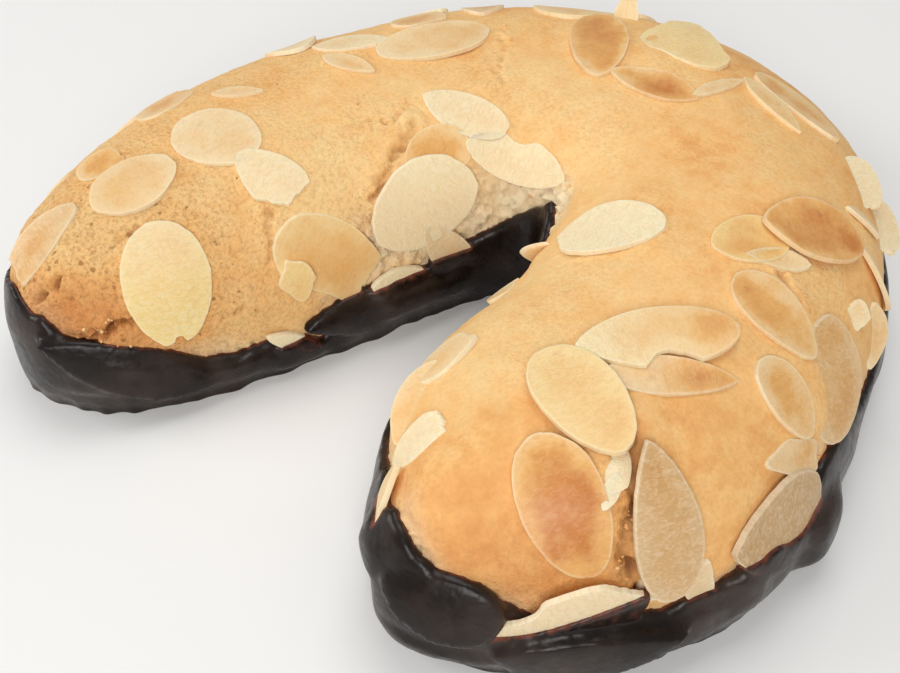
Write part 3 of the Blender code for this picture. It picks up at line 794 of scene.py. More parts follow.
def make_dough():
    dough = new_piece("almond_dough", dough_shell(), dough_finish)
    voxel_remesh(dough, DOUGH_NET)
    refine_near_cracks(dough)
    cut_off(dough, (0, 0, DOUGH_CUT * MM), (0, 0, -1))
    points, normals = mesh_points(dough.data)
    w = plan_w(points)
    above_rim = points[:, 2] - rim_height(w)
    bare = np.clip((above_rim - BARE_FROM) / BARE_OVER, 0, 1)
    cracks, deep = crack_relief(points)
    lumps = sum(height * wavy(points, size, seed) for height, size, seed in LUMPS)
    moved = points + normals * (bare * (lumps + cracks))[:, None]
    moved[:, 2] = np.where(points[:, 2] < DOUGH_CUT + 0.01, DOUGH_CUT, moved[:, 2])
    move_points(dough.data, moved)
    steep = np.clip((STEEP - normals[:, 2]) / STEEP_OVER, 0, 1)
    torn = np.clip(np.minimum(w - TORN_WALL[0], TORN_WALL[1] - w) * 2.5, 0, 1)
    near_rim = np.clip(1 - above_rim / CRUMBLY_RIM, 0, 1) * np.clip(0.4 + 1.1 * wavy(points, 9, 6), 0, 1)
    crumb = np.clip(torn * steep + 0.7 * near_rim, 0, 1)
    crumb = crumb * np.clip(0.85 + 0.6 * wavy(points, 5, 5), 0, 1)
    store(dough.data, "crumb", crumb)
    store(dough.data, "brown", spots_at(points, BROWN_SPOTS, LEAST_BROWN))
    porous = spots_at(points, POROUS_SPOTS, LEAST_POROUS) + 0.25 * wavy(points, 8, 7)
    store(dough.data, "porous", np.clip(porous, 0, 1))
    # the painted shade in the cracks, stored as 'deep'
    store(dough.data, "deep", deep * bare)
    run_tree(dough, grain, GRAIN_SETTINGS)
    return dough


dough = make_dough()
print("dough:", sum(len(face.vertices) - 2 for face in dough.data.polygons), "triangles")


# %% [markdown]
# ## The sliced almonds
#
# A sliced almond is a thin plate, under a millimetre thick, cut lengthwise from a blanched almond. Its
# outline is an egg with one pointed end; many are broken. It bends as it bakes, and lies on the dough at
# the edge that touches first. Each one is built here as rings of points round a middle, once for its
# upper and once for its under side, with a crisp cut edge between them. A low curved sheet is fitted to
# the dough below it, as a stiff flake bridges the small lumps.
#
# Each row gives a flake's place and size, then how toasted it is, 0 to 1, and its tint, from -1 for
# yellow to 1 for grey-brown: partly the colour of a flake that lay on wet dough, partly painted shade on
# flakes that lie in shadow. The flakes on the hidden sides follow a seeded rule.


# %% The flakes' places
FLAKES = [
    # w, b, turn, length, width, kind, lean, how many lie below, toast, tint (-1 yellow, 1 soaked and
    # painted shade)
    (18.2, 34, 85, 17.5, 12, "whole", 0, 0, 0.15, -0.6),
    (18.1, 86, 9, 13.5, 9.6, "whole", 0, 0, 0.35, 0.2),
    (19.98, 52, -84, 13, 5.5, "broken", 12, 0, 0.45, 0.5),
    (1.4, 74, -25, 7, 5.5, "broken", 8, 0, 0.6, 0.1),
    (17.45, 88, -65, 14.4, 11.4, "whole", 0, 0, 0.25, 0.2),
    (17.3, 65, -68, 11, 8, "half", 0, 0, 0.15, 0.1),
    (17.13, 20, -49, 16.6, 11.3, "broken", 0, 0, 0.38, -0.4),
    (17.35, 17, -60, 6.4, 5, "chip", 0, 1, 0.25, -0.6),
    (16.45, 26, 16, 17.3, 12.6, "whole", 0, 1, 0.05, 0.0),
    (16.3, 48, 3, 10, 8, "whole", 0, 0, 0.55, -0.2),
    (16.1, 63, -39, 13.9, 7, "lens", 0, 0, 0.15, 0.0),
    (15.62, 36, -22, 15, 7, "lens", 6, 0, 0.1, 0.0),
    (16.3, 4, -64, 11, 6, "broken", 0, 0, 0.2, 0.3),
    (17.45, -34, -33, 9, 2.4, "sliver", 20, 1, 0.0, 0.0),
    (3.75, 84, 5, 18.3, 10, "whole", 0, 0, 0.32, 0.1),
    (3.4, 72, -27, 12.4, 5.5, "lens", 0, 0, 0.2, 0.0),
    (3.35, 85, -56, 9.8, 3.5, "lens", 0, 0, 0.4, 0.0),
    (3.7, 64, 11, 9, 6, "broken", 0, 0, 0.5, 0.0),
    (2.8, 78, -38, 8, 2.6, "lens", 0, 0, 0.4, 0.0),
    (2.4, 58, 13, 9.7, 6, "broken", 6, 0, 0.55, 0.1),
    (4.55, 86, -75, 18, 9.2, "whole", 0, 0, 0.7, 0.2),
    (4.75, 62, 5, 4.2, 4.8, "chip", 60, 0, 0.3, 0.0),
    (4.9, 72, -28, 17, 12, "broken", 6, 0, 0.2, -0.5),
    (14.95, 87, 14, 14.7, 6.2, "lens", 0, 0, 0.75, 0.2),
    (5.5, 71, 10, 14, 3.5, "lens", 0, 0, 0.4, -0.3),
    (5.5, 59, 22, 16.6, 6, "whole", 0, 0, 0.5, -0.1),
    (5.3, 84, -86, 9.8, 2.4, "sliver", 0, 0, 0.4, 0.0),
    (5.9, 42, 18, 9, 5.5, "broken", 30, 0, 0.1, 0.0),
    (6.0, 26, 21, 9, 6.5, "broken", 30, 0, 0.15, 0.0),
    (6.1, 41, -84, 8, 3, "sliver", 20, 0, 0.3, 0.0),
    (6.45, 81, -46, 11, 8.2, "whole", 0, 0, 0.45, -0.8),
    (6.3, 63, -69, 15.5, 10, "whole", 0, 1, 0.8, 0.2),
    (6.5, 71, -65, 9, 3.3, "lens", 0, 0, 0.4, 0.0),
    (6.75, 64, 76, 14, 8.2, "whole", 0, 0, 0.55, 0.2),
    (6.78, 33, -143, 17, 11.5, "whole", -8, 0, 0.45, 0.55),
    (7.05, 46, 79, 11.5, 6.7, "whole", 0, 0, 0.5, 0.3),
    (6.5, 35, 60, 4, 3, "chip", 30, 0, 0.2, 0.0),
    (6.25, 25, -86, 12.5, 6, "lens", 20, 0, 0.35, -0.2),
    (6.45, 18, 45, 9, 4.5, "lens", 25, 0, 0.4, 0.0),
    (7.25, 30, -28, 9.5, 5, "broken", 10, 0, 0.4, 0.4),
    (7.54, 12, -14, 16.9, 12.9, "whole", 3, 0, 0.3, 0.95),
    (7.25, 86, -41, 20.4, 9, "whole", 0, 1, 0.35, -0.2),
    (7.45, 77, -46, 16.4, 5.5, "lens", 0, 0, 0.55, 0.3),
    (8.05, 87, 77, 17, 10, "whole", 0, 1, 0.3, -0.5),
    (9.17, 51, -69, 17.5, 10.2, "whole", 0, 0, 0.9, 0.2),
    (8.53, 38, -93, 19.4, 8.2, "whole", 0, 0, 0.4, 0.75),
    (8.68, 61, 65, 6, 3, "chip", 12, 0, 0.1, 0.0),
    (9.15, 6, 25, 19.6, 11.5, "lens", -12, 0, 0.05, 0.35),
    (9.0, 6, 2, 8.3, 3, "sliver", -10, 0, 0.1, 0.0),
    (8.72, 12, 80, 5, 2.6, "chip", 0, 0, 0.2, 0.0),
    (8.4, 8, -79, 7, 4, "half", 0, 0, 0.2, 0.4),
    (10.98, 41, -72, 9, 4.9, "broken", 8, 0, 0.1, 0.0),
    (11.5, 38, -28, 12, 3.6, "sliver", 40, 0, 0.45, 0.0),
    (10.6, 24, -55, 9.5, 3.4, "sliver", -10, 1, 0.3, -0.2),
    (12.0, 46, -16, 9, 6.5, "broken", 0, 0, 0.3, 0.0),
    (13.5, 65, -73, 15.2, 10, "whole", 0, 0, 0.05, 0.0),
    (13.65, 24, 80, 7, 2.6, "sliver", 55, 0, 0.2, 0.0),
    (13.0, 26, 20, 6, 4, "chip", 15, 0, 0.3, 0.0),
    (8.82, 55, -124, 4.8, 2.1, "sliver", 0, 0, 0.0, 0.2),
    (16.67, 0, -10, 9.8, 4.4, "sliver", 15, 0, 0.0, 0.2),
]
FAR_SIDES = [(0.6, 4.9, 58, 9), (10.9, 13.4, 36, 4)]  # from w to w, the highest b, how many
FAR_LOWEST = 18
FAR_APART = 11.0
FAR_LENGTH, FAR_WIDTH = (12, 17), (0.45, 0.62)  # the width is a share of the length
FAR_KINDS = ("whole", "whole", "lens", "broken")
FAR_TRIES = 400
FAR_SEED = 11


def far_side_flakes():
    """Flakes for the sides out of view, kept apart from each other and from the flakes already there."""
    rng = np.random.RandomState(FAR_SEED)
    taken = [skin(place[0], place[1])[0] for place in FLAKES]
    found = []
    for start, end, highest, wanted in FAR_SIDES:
        placed = 0
        for _ in range(FAR_TRIES):
            if placed == wanted:
                break
            w = rng.uniform(start, end)
            b = rng.uniform(FAR_LOWEST, highest)
            turn = rng.uniform(-90, 90)
            length = rng.uniform(*FAR_LENGTH)
            width = length * rng.uniform(*FAR_WIDTH)
            kind = FAR_KINDS[rng.randint(4)]
            spot = skin(w, b)[0]
            if min(np.linalg.norm(spot - other) for other in taken) < FAR_APART:
                continue
            taken.append(spot)
            toast, tint = (w * 7) % 1 * 0.7, (w * 3) % 1 - 0.5
            found.append((w, b, turn, length, width, kind, 0, 0, toast, tint))
            placed += 1
    return found


all_flakes = FLAKES + far_side_flakes()
print(len(FLAKES), "flakes in view and", len(all_flakes) - len(FLAKES), "on the hidden sides")

# %% What sets one flake apart from another
FLAKE_SIDES = 80  # points round a flake
TOP_RINGS = [0.2, 0.4, 0.58, 0.73, 0.84, 0.92, 0.97, 0.99]
UNDER_RINGS = [0.9, 0.5]
FLAKE_THICK = 0.75
FLAKE_LIFT = 0.5  # the least that a flake's upper side stands off the dough
FLAKE_CLEAR = 0.35  # and how far it stays above the dough's highest bumps
FLAKE_STIFF = 0.8  # share of the dough's curve that a flake takes up
FLAKE_STEP = 0.8  # how much higher a flake stands for each flake that it lies on
FLAKE_DISH, DISH_SLOPE = 0.25, 1.5  # how far a toasted flake's middle sinks, and how far from its edge
FLAKE_BEVEL = 0.05  # share of its thickness by which the upper edge is lowered
FLAKE_WAVES = (2, 3, 4, 7, 12, 19, 27)  # waves round a flake that make its edge uneven
FLAKE_SEED = 23
# Snaps across a flake where its kind has them: direction in degrees, and how far out, 0 to 1.
KIND_CUTS = {"broken": [(0, 0.55), (38, 0.8)], "half": [(-90, 0.3)], "chip": [(20, 0.7), (200, 0.75)]}
# How pointed the two ends are, 0 for round and 1 for a point, where the kind has pointed ends.
KIND_POINTS = {"lens": (0.6, 0.6), "sliver": (0.5, 0.5), "whole": (0.0, 0.12)}
# What is special about a flake, by its place in the list: how much narrower its far end is than its
# near end, how pointed its two ends are, its snaps, its bites (u, v and radius in mm), how much more
# toasted and how much more tinted its far end is, how much further out it stands, and its seat (w, b)
# where it stands a little away from its place in the list.
UNDER_COAT = 500  # the numbers of the flakes wholly under the coat start here
SPECIAL = {
    0: dict(taper=0.10, points=(0, 0.1), cuts=[(0, 0.93)], bites=[(8.3, 0.5, 0.7)],
            fade=-0.5, tinge=0.9),
    1: dict(taper=-0.05),
    2: dict(taper=0.15, cuts=[(172, 0.72)]),
    4: dict(taper=-0.05),
    5: dict(taper=0.25, cuts=[(180, 0.7), (140, 0.75)]),
    6: dict(taper=-0.15, cuts=[(184, 0.66), (97, 0.80)], fade=-0.2),
    8: dict(taper=0.05),
    10: dict(taper=0.05, points=(0.3, 0.5), cuts=[(172, 0.93)]),
    11: dict(taper=0.05, points=(0.25, 0.1), bites=[(0.6, -5.7, 3.3)]),
    12: dict(taper=0.2, cuts=[(180, 0.75)], lift=0.9),
    14: dict(taper=-0.18),
    20: dict(taper=0.12),
    21: dict(points=(0.8, 0.8), cuts=[], seat=(4.55, 60)),
    22: dict(taper=0.15, cuts=[(200, 0.8), (75, 0.72), (-60, 0.85)]),
    31: dict(taper=-0.10, points=(0.1, 0.5)),
    34: dict(taper=0.18, points=(0, 0.4)),
    39: dict(taper=0.5, cuts=[(180, 0.7), (240, 0.75)]),
    40: dict(taper=0.25, points=(0, 0.3), lift=0.6),
    41: dict(taper=0.05, points=(0, 0.6), bites=[(-0.5, 5.0, 2.6), (-2.2, 4.6, 1.8)], fade=-0.9),
    42: dict(taper=-0.20, points=(0.5, 0.3), fade=-0.6),
    43: dict(taper=0.10),
    44: dict(taper=-0.12, lift=0.4),
    45: dict(taper=0.22, points=(0, 0.4), lift=0.9),
    47: dict(taper=0.35, points=(0.2, 0.3), cuts=[(0, 0.93), (200, 0.9)],
             bites=[(4.6, -7.4, 4.4)], lift=1.3),
    55: dict(taper=0.1, points=(0.5, 0), cuts=[(193, 0.9)]),
    59: dict(lift=0.9),
    UNDER_COAT + 1: dict(taper=-0.35, points=(0.9, 0), cuts=[(8, 0.86)]),
}
print(len(SPECIAL), "flakes have something special")


# %% The outline of one flake
def ragged(count, rng, waves, strength):
    """A closed line's small random in-and-out, from a few sine waves."""
    angle = np.linspace(0, 2 * np.pi, count, endpoint=False)
    total = np.zeros(count)
    for wave in waves:
        total += rng.uniform(-1, 1) * np.sin(wave * angle + rng.uniform(0, 2 * np.pi)) / wave**0.5
    return strength * total


def snap_off(points, direction, far, rng):
    """Cuts an outline off along a slightly ragged line across it."""
    normal = np.array([math.cos(math.radians(direction)), math.sin(math.radians(direction))])
    out = points @ normal
    across = points @ np.array([-normal[1], normal[0]])
    line = np.full(len(points), float(far))
    for wave, size in ((5, 0.020), (11, 0.013), (23, 0.009)):
        line += size * np.sin(wave * across + rng.uniform(0, 2 * np.pi))
    share = np.where(out > line, line / np.maximum(out, 1e-6), 1.0)
    return points * share[:, None]


def bite_out(points, u, v, radius):
    """Takes a round bite out of an outline, seen from the flake's middle."""
    reach = np.linalg.norm(points, axis=1)
    ray = points / reach[:, None]
    centre = np.array([u, v])
    nearest = ray @ centre
    inside = radius**2 - (centre @ centre - nearest**2)
    entry = nearest - np.sqrt(np.maximum(inside, 0))
    bitten = (inside > 0) & (entry > 0) & (entry < reach)
    return ray * np.where(bitten, entry, reach)[:, None]


def flake_outline(kind, length, width, rng, special):
    """Points round a flake lying flat: an almond sliced lengthwise, whole or broken."""
    angle = np.linspace(0, 2 * np.pi, FLAKE_SIDES, endpoint=False)
    x, y = np.cos(angle), np.sin(angle)
    taper = special.get("taper", 0.0 if kind in ("chip", "sliver") else 0.15)
    near, far = special.get("points", KIND_POINTS.get(kind, (0, 0)))
    sharpness = near + (far - near) * (x + 1) / 2
    y = np.sign(y) * np.abs(y) ** (1 + sharpness)
    if kind == "chip":
        grow = 1 + ragged(FLAKE_SIDES, rng, (2, 3, 5), 0.16)
        x, y = x * grow, y * grow
    outline = np.column_stack([x, y * (1 - taper * x)])
    for direction, reach in special.get("cuts", KIND_CUTS.get(kind, [])):
        outline = snap_off(outline, direction, reach, rng)
    outline -= (outline.max(0) + outline.min(0)) / 2
    outline *= np.array([length, width]) / np.ptp(outline, axis=0)
    for bite in special.get("bites", []):
        outline = bite_out(outline, *bite)
    uneven = 1 + ragged(FLAKE_SIDES, rng, FLAKE_WAVES, 0.024)
    return outline * uneven[:, None]


def distance_to_outline(spots, outline):
    """How far each spot on a flake is from its outline."""
    return distance_to_path(spots, [*outline, outline[0]])


print("a flake has", FLAKE_SIDES, "points round it")


# %% Laying a flake on the dough
RAYS_FROM, LOWEST = 12.0, -3.0  # rays start this far above the dough, and find nothing lower than this
HIGHEST_LIFT = 1.2
FLAT_ACROSS, FLAT_ALONG = 60, 130  # the larger, the less a flake curls across and twists along
RIPPLE, RIPPLE_SIZE = 0.08, (2.6, 2.1)


def bend_of_dough(tree, middle, normal, along, across, length, width):
    """A curved sheet fitted to the dough under a flake: its height at (u, v), by least squares. The
    second result is how far the dough's bumps come up through it."""
    rows, heights = [], []
    for u in np.linspace(-0.5, 0.5, 7) * length:
        for v in np.linspace(-0.5, 0.5, 5) * width:
            start = middle + along * u + across * v + normal * RAYS_FROM
            _, _, _, far = tree.ray_cast(Vector(start), Vector(-normal))
            rows.append([1, u, v, u * u, u * v, v * v])
            heights.append(LOWEST if far is None else max(RAYS_FROM - far, LOWEST))
    fit, *_ = np.linalg.lstsq(np.array(rows), np.array(heights), rcond=None)
    return fit, np.percentile(heights - FLAKE_STIFF * (np.array(rows) @ fit), 90)


def flake_sheet(tree, number, place):
    """A flake's outline, the three directions it lies in, and its height as a function of (u, v)."""
    w, b, turn, length, width, kind, lean, below, *_ = place
    special = SPECIAL.get(number, {})
    rng = np.random.RandomState(FLAKE_SEED + number)
    middle, normal, along, down = seat(*special.get("seat", (w, b)))
    turn = math.radians(turn)
    long_way = math.cos(turn) * along + math.sin(turn) * down
    cross_way = np.cross(normal, long_way)
    outline = flake_outline(kind, length, width, rng, special)
    fit, bumps = bend_of_dough(tree, middle, normal, long_way, cross_way, length, width)
    curl = rng.uniform(-0.3, 0.8) / FLAT_ACROSS
    twist = rng.uniform(-1, 1) / FLAT_ALONG
    shift = rng.uniform(0, 6.28, 2)
    slope = math.tan(math.radians(lean))
    lift = max(FLAKE_LIFT, min(bumps + FLAKE_CLEAR, HIGHEST_LIFT))
    lift += special.get("lift", 0) + below * FLAKE_STEP

    def height(u, v):
        low = fit[0] + fit[1] * u + fit[2] * v + fit[3] * u * u + fit[4] * u * v + fit[5] * v * v
        shape = curl * v * v + twist * u * v
        shape = shape + (RIPPLE * np.sin(u / RIPPLE_SIZE[0] + shift[0])
                         * np.cos(v / RIPPLE_SIZE[1] + shift[1]))
        return FLAKE_STIFF * low + lift + slope * v + shape

    return outline, (middle, long_way, cross_way, normal), height


def flake_plate(outline, frame_of, height, thick, dish=0.0):
    """Points and faces of a plate over an outline, where each point lies on it, and how far in."""
    middle, long_way, cross_way, normal = frame_of
    shares = [0] + TOP_RINGS + [1, 1] + UNDER_RINGS + [0]
    levels = [0] * (len(TOP_RINGS) + 2) + [1] * (len(UNDER_RINGS) + 2)
    points, flat = [], []
    for share, level in zip(shares, levels):
        ring = outline * share if share else np.zeros((1, 2))
        bevel = FLAKE_BEVEL * thick if share == 1 and level == 0 else 0.0
        z = height(*ring.T) - level * thick - bevel
        if not level:
            z = z - dish * (1 - np.exp(-distance_to_outline(ring, outline) / DISH_SLOPE))
        points.append(middle + np.outer(ring[:, 0], long_way) + np.outer(ring[:, 1], cross_way)
                      + np.outer(z, normal))
        flat.append(ring)
    flat = np.vstack(flat)
    return np.vstack(points), flake_faces(), flat, distance_to_outline(flat, outline)


def flake_faces():
    """Faces between the rings of a flake: a fan, bands over the edge to the other side, and a fan."""
    bands = len(TOP_RINGS) + len(UNDER_RINGS) + 2
    n = FLAKE_SIDES
    last = 1 + bands * n
    faces = []
    for i in range(n):
        j = (i + 1) % n
        faces.append((0, 1 + i, 1 + j))
        for band in range(bands - 1):
            low, high = 1 + band * n, 1 + (band + 1) * n
            faces.append((low + i, high + i, high + j, low + j))
        faces.append((last, last - n + j, last - n + i))
    return faces


dough_tree = surface_tree(dough)
print("one flake:", len(flake_faces()), "faces")


# %% [markdown]
# ### Toasted almond, the finish
#
# A blanched almond is ivory. In the oven its middle turns tan first, and its cut edge stays pale. Where it
# lay on wet dough it is soaked and grey-brown, and the same grey-brown is laid on flakes in shadow as
# painted shade. Light passes into it, so it glows a little at its edges, and the knife leaves fine
# wrinkles on it, with painted shade in their valleys. The material reads where a point is on its own
# flake, from a vector stored on the points, so that wrinkles and browning follow each flake.

# %% The almonds' material
ALMOND_IVORY, ALMOND_YELLOW, ALMOND_EDGE = "#FEE8BE", "#FFE29C", "#FFF2D6"
ALMOND_TAN, ALMOND_ORANGE, ALMOND_BROWN = "#EEB66B", "#D0823C", "#A65E2C"
ALMOND_SOAKED_AND_SHADED = "#B28C5E"


def toasted_almond():
    material, tree, shader = new_material("toasted_sliced_almond")
    node = functools.partial(add_node, tree)
    spot = node("ShaderNodeAttribute", attribute_name="spot").outputs["Vector"]
    inside, toast, tint = [node("ShaderNodeAttribute", attribute_name=name).outputs["Fac"]
                           for name in ("inside", "toast", "tint")]
    # A wandering line parts the toasted middle from the pale border, 1 to 2.5 mm in from the edge.
    clouds = node(NOISE, {"Vector": spot, "Scale": 0.24, "Detail": 4.0})
    swung = node(MATH, [clouds, 4.0, -2.0], operation="MULTIPLY_ADD")
    deep = node(MATH, [inside, swung], operation="ADD")
    middle = node(RANGE, [deep, 0.2, 2.8, 0.6, 1.0], interpolation_type="SMOOTHSTEP")
    cooked = node(MATH, [toast, node(RANGE, [clouds, 0.3, 0.7, 0.8, 1.2])], operation="MULTIPLY")
    centre = node(MATH, [cooked, middle], operation="MULTIPLY", use_clamp=True)
    # The knife leaves fine pale wrinkles, about 0.5 mm apart along the flake and 0.9 mm across it. They
    # are plain on raw flakes and on the grey-brown soaked and shaded ones, and faint on toasted ones.
    # The grey-brown tint: the colour of soaked flakes, and also painted shade on flakes that lie in
    # shadow.
    soaked_and_shaded = node(RANGE, [tint, 0.2, 1.0, 0.0, 0.75])
    raw = node(RANGE, [toast, 0.35, 0.1])
    plain_to_see = node(MATH, [raw, soaked_and_shaded], operation="MAXIMUM")
    stretch = node(VECTOR, [spot, (1.1, 0.6, 1.0)], operation="MULTIPLY")
    wrinkle = node(NOISE, {"Vector": stretch, "Scale": 1.8, "Detail": 2.5, "Roughness": 0.55,
                           "Distortion": 1.1})
    crest = node(RANGE, [wrinkle, 0.46, 0.68])
    pale = node(MATH, [crest, node(RANGE, [plain_to_see, 0.0, 1.0, 0.08, 0.36])], operation="MULTIPLY")
    wrinkle_valley_shade = node(RANGE, [wrinkle, 0.34, 0.5, 0.94, 1.0])
    spots = node(NOISE, {"Vector": spot, "Scale": 0.6, "Detail": 3.0})
    scorch = node(MATH, [node(RANGE, [spots, 0.62, 0.85, 0.0, 0.6]), toast], operation="MULTIPLY")
    # Each colour lies over the ones before it by its own share, and painted shade darkens the wrinkles'
    # valleys.
    layers = [
        (node(RANGE, [tint, 0.0, -0.7]), ALMOND_YELLOW),
        (node(RANGE, [centre, 0.0, 0.5]), ALMOND_TAN),
        (node(RANGE, [centre, 0.45, 1.0]), ALMOND_ORANGE),
        (soaked_and_shaded, ALMOND_SOAKED_AND_SHADED),
        (node(RANGE, [inside, 0.35, 0.0, 0.0, 0.35]), ALMOND_EDGE),
        (pale, ALMOND_EDGE),
        (wrinkle_valley_shade, None),
        (scorch, ALMOND_BROWN),
    ]
    body = colour(ALMOND_IVORY)
    for share, over in layers:
        if over:
            body = node(MIX, {0: share, 6: body, 7: colour(over)}, data_type="RGBA")
        else:
            body = node(VECTOR, {0: body, "Scale": share}, operation="SCALE")
    centred = node(MATH, [wrinkle, 0.5], operation="SUBTRACT")
    depth = node(RANGE, [plain_to_see, 0.0, 1.0, 0.15, 0.8])
    relief = node(MATH, [centred, depth], operation="MULTIPLY")
    bump = node("ShaderNodeBump", {"Height": relief, "Strength": 0.7, "Distance": 0.3 * MM})
    gloss = node(RANGE, [plain_to_see, 0.0, 1.0, 0.38, 0.6])
    plug(tree, shader, {"Base Color": body, "Normal": bump, "Roughness": gloss, "IOR": 1.45,
                        "Subsurface Weight": 0.3, "Subsurface Radius": (1.0, 0.6, 0.3),
                        "Subsurface Scale": 1.0 * MM})
    return material


almond_finish = toasted_almond()
print("material", almond_finish.name)


# %% Make the flakes, one piece for each kind
KIND_NAMES = {
    "whole": "almonds_whole", "lens": "almonds_pointed", "broken": "almonds_broken",
    "half": "almonds_halved", "chip": "almond_chips", "sliver": "almond_slivers",
}
CRISP = math.radians(50)  # edges sharper than this are shaded as edges


def stack_meshes(name, parts, material):
    """One object from several lots of points, in millimetres, and faces."""
    mesh = bpy.data.meshes.new(name)
    starts = np.cumsum([0] + [len(points) for points, _ in parts])
    faces = [tuple(i + start for i in face) for (_, some), start in zip(parts, starts) for face in some]
    mesh.from_pydata((np.vstack([points for points, _ in parts]) * MM).tolist(), [], faces)
    piece = add_object(name, mesh, material)
    mesh.set_sharp_from_angle(angle=CRISP)
    return piece


def make_flakes(tree):
    made = {}
    for number, place in enumerate(all_flakes):
        _, _, _, length, _, kind, _, _, toast, tint = place
        special = SPECIAL.get(number, {})
        plate = flake_plate(*flake_sheet(tree, number, place), FLAKE_THICK, FLAKE_DISH * toast)
        points, faces, flat, inside = plate
        far = flat[:, 0] / (length / 2)
        toast = np.clip(toast * (1 + special.get("fade", 0.3 * math.sin(number * 2.4)) * far), 0, 1)
        tint = tint * (1 + special.get("tinge", 0) * far)
        where = np.column_stack([flat, np.full(len(flat), 7.7 * number)])
        made.setdefault(kind, []).append((points, faces, where, inside, toast, tint))
    pieces = []
    for kind, flakes in made.items():
        piece = stack_meshes(KIND_NAMES[kind], [flake[:2] for flake in flakes], almond_finish)
        spot = piece.data.attributes.new("spot", "FLOAT_VECTOR", "POINT")
        where = np.vstack([flake[2] for flake in flakes])
        spot.data.foreach_set("vector", where.astype(np.float32).ravel())
        for name, column in (("inside", 3), ("toast", 4), ("tint", 5)):
            store(piece.data, name, np.concatenate([flake[column] for flake in flakes]))
        pieces.append(piece)
    return pieces


almonds = make_flakes(dough_tree)
print("almond pieces:", {piece.name: len(piece.data.polygons) for piece in almonds})


# %% [markdown]
# ## The chocolate
#
# The horn is dipped, so the coat is thin at its rim and thicker at its foot, where it spread on the tray
# as it set. It runs over the flakes at the foot, which show as rounded ledges, and it climbs those that
# stand in it. The coat is a shell from the same form as the dough, moved out by its thickness. A flake
# that lies wholly under it is laid in as a thick plate, and one that stands in it gets a thin jacket up
# to where the coat reaches. A voxel Remesh melts them and the shell into one skin, which is then
# smoothed.

# %% How thick the coat is
COAT, RIM_COAT = 1.6, 0.6
GAP = 0.35
FOOT_TUCK, FOOT_TUCK_HEIGHT = 1.3, 3.0  # the coat draws in towards the foot, up to this height
LOBES = [
    # w, half length along w, height, half height, how much thicker
    (9.75, 0.32, 12.0, 4.6, 0.3), (10.42, 0.14, 5.0, 7.0, -0.9), (10.40, 0.20, 15.0, 2.5, 0.7),
    (10.75, 0.30, 11.0, 5.0, 0.4), (11.15, 0.25, 2.0, 3.0, 0.6), (8.80, 0.62, 6.5, 3.2, 1.0),
    (9.33, 0.13, 7.5, 2.8, 1.0), (7.95, 0.18, 9.0, 4.0, 0.9), (7.12, 0.17, 6.5, 5.0, 2.4),
    (6.52, 0.16, 5.0, 5.0, -0.9), (16.62, 0.24, 6.6, 2.4, 1.2), (16.28, 0.15, 6.0, 2.2, 0.8),
    (17.20, 0.07, 5.0, 3.0, -0.4), (17.42, 0.18, 3.2, 1.8, 1.0), (18.72, 0.62, 9.0, 3.4, 1.1),
    (18.10, 0.40, 4.5, 2.0, 0.5), (0.15, 0.50, 10.0, 8.0, -0.8), (3.00, 0.40, 6.0, 3.0, 0.4),
    (5.20, 0.30, 7.0, 3.0, 0.3), (12.30, 0.30, 6.0, 3.0, 0.6), (15.30, 0.40, 6.0, 4.0, 0.3),
    (9.80, 0.34, 3.6, 2.2, 0.8),
]
SCALLOP, SCALLOP_SIZE = 0.45, 6.0


def coat_thickness(w, z, rim):
    """How far the coat's outside stands off the dough at (w, height z)."""
    share = np.clip(z / rim, 0, 1)
    thick = RIM_COAT + (COAT - RIM_COAT) * (1 - share**3)
    thick = thick - FOOT_TUCK * np.exp(-((z / FOOT_TUCK_HEIGHT) ** 2))
    for at, half_w, height, half_z, more in LOBES:
        off = np.mod(w - at + ROUND / 2, ROUND) - ROUND / 2
        here = np.exp(-((off / half_w) ** 4) - ((z - height) / half_z) ** 6)
        thick = thick + more * here
    return thick


def scallops(points):
    return SCALLOP * wavy(points, SCALLOP_SIZE, 0)


print("coat", COAT, "mm,", len(LOBES), "lobes")

# %% Chocolate, the finish
CHOCOLATE_DARK, CHOCOLATE_BLOOM_AND_SHEEN, CHOCOLATE_THIN = "#19110D", "#392C25", "#7A3E2C"


def set_chocolate():
    material, tree, shader = new_material("set_dark_chocolate")
    node = functools.partial(add_node, tree)
    place = node("ShaderNodeTexCoord").outputs["Object"]
    thin = node("ShaderNodeAttribute", attribute_name="thin").outputs["Fac"]
    # Melted chocolate sets in soft waves about 4 mm wide, with a finer mottling about 1 mm wide. Greyer
    # soft patches about 9 mm wide are partly cocoa butter that came up where it cooled slowly, partly a
    # painted sheen.
    waves, mottle, bloom_and_sheen_patches = [
        node(NOISE, {"Vector": place, "Scale": 1 / (size * MM), "Detail": detail})
        for size, detail in ((4, 3.0), (1.2, 4.0), (9, 4.0))]
    edge_share = node(MATH, [mottle, thin], operation="MULTIPLY")
    base = colour(CHOCOLATE_DARK)
    # greyer patches: cocoa-butter bloom and painted sheen
    for share, over in ((node(RANGE, [bloom_and_sheen_patches, 0.42, 0.68]), CHOCOLATE_BLOOM_AND_SHEEN),
                        (node(RANGE, [edge_share, 0.2, 0.5]), CHOCOLATE_THIN)):
        base = node(MIX, {0: share, 6: base, 7: colour(over)}, data_type="RGBA")
    dull = node(RANGE, [mottle, 0.35, 0.65, 0.26, 0.38])
    heights = node(MATH, [mottle, 0.12, waves], operation="MULTIPLY_ADD")
    bump = node("ShaderNodeBump", {"Height": heights, "Strength": 0.5, "Distance": 0.6 * MM})
    plug(tree, shader, {"Base Color": base, "Normal": bump, "Roughness": dull, "IOR": 1.46,
                        "Specular IOR Level": 0.34})
    return material


chocolate_finish = set_chocolate()
print("material", chocolate_finish.name)


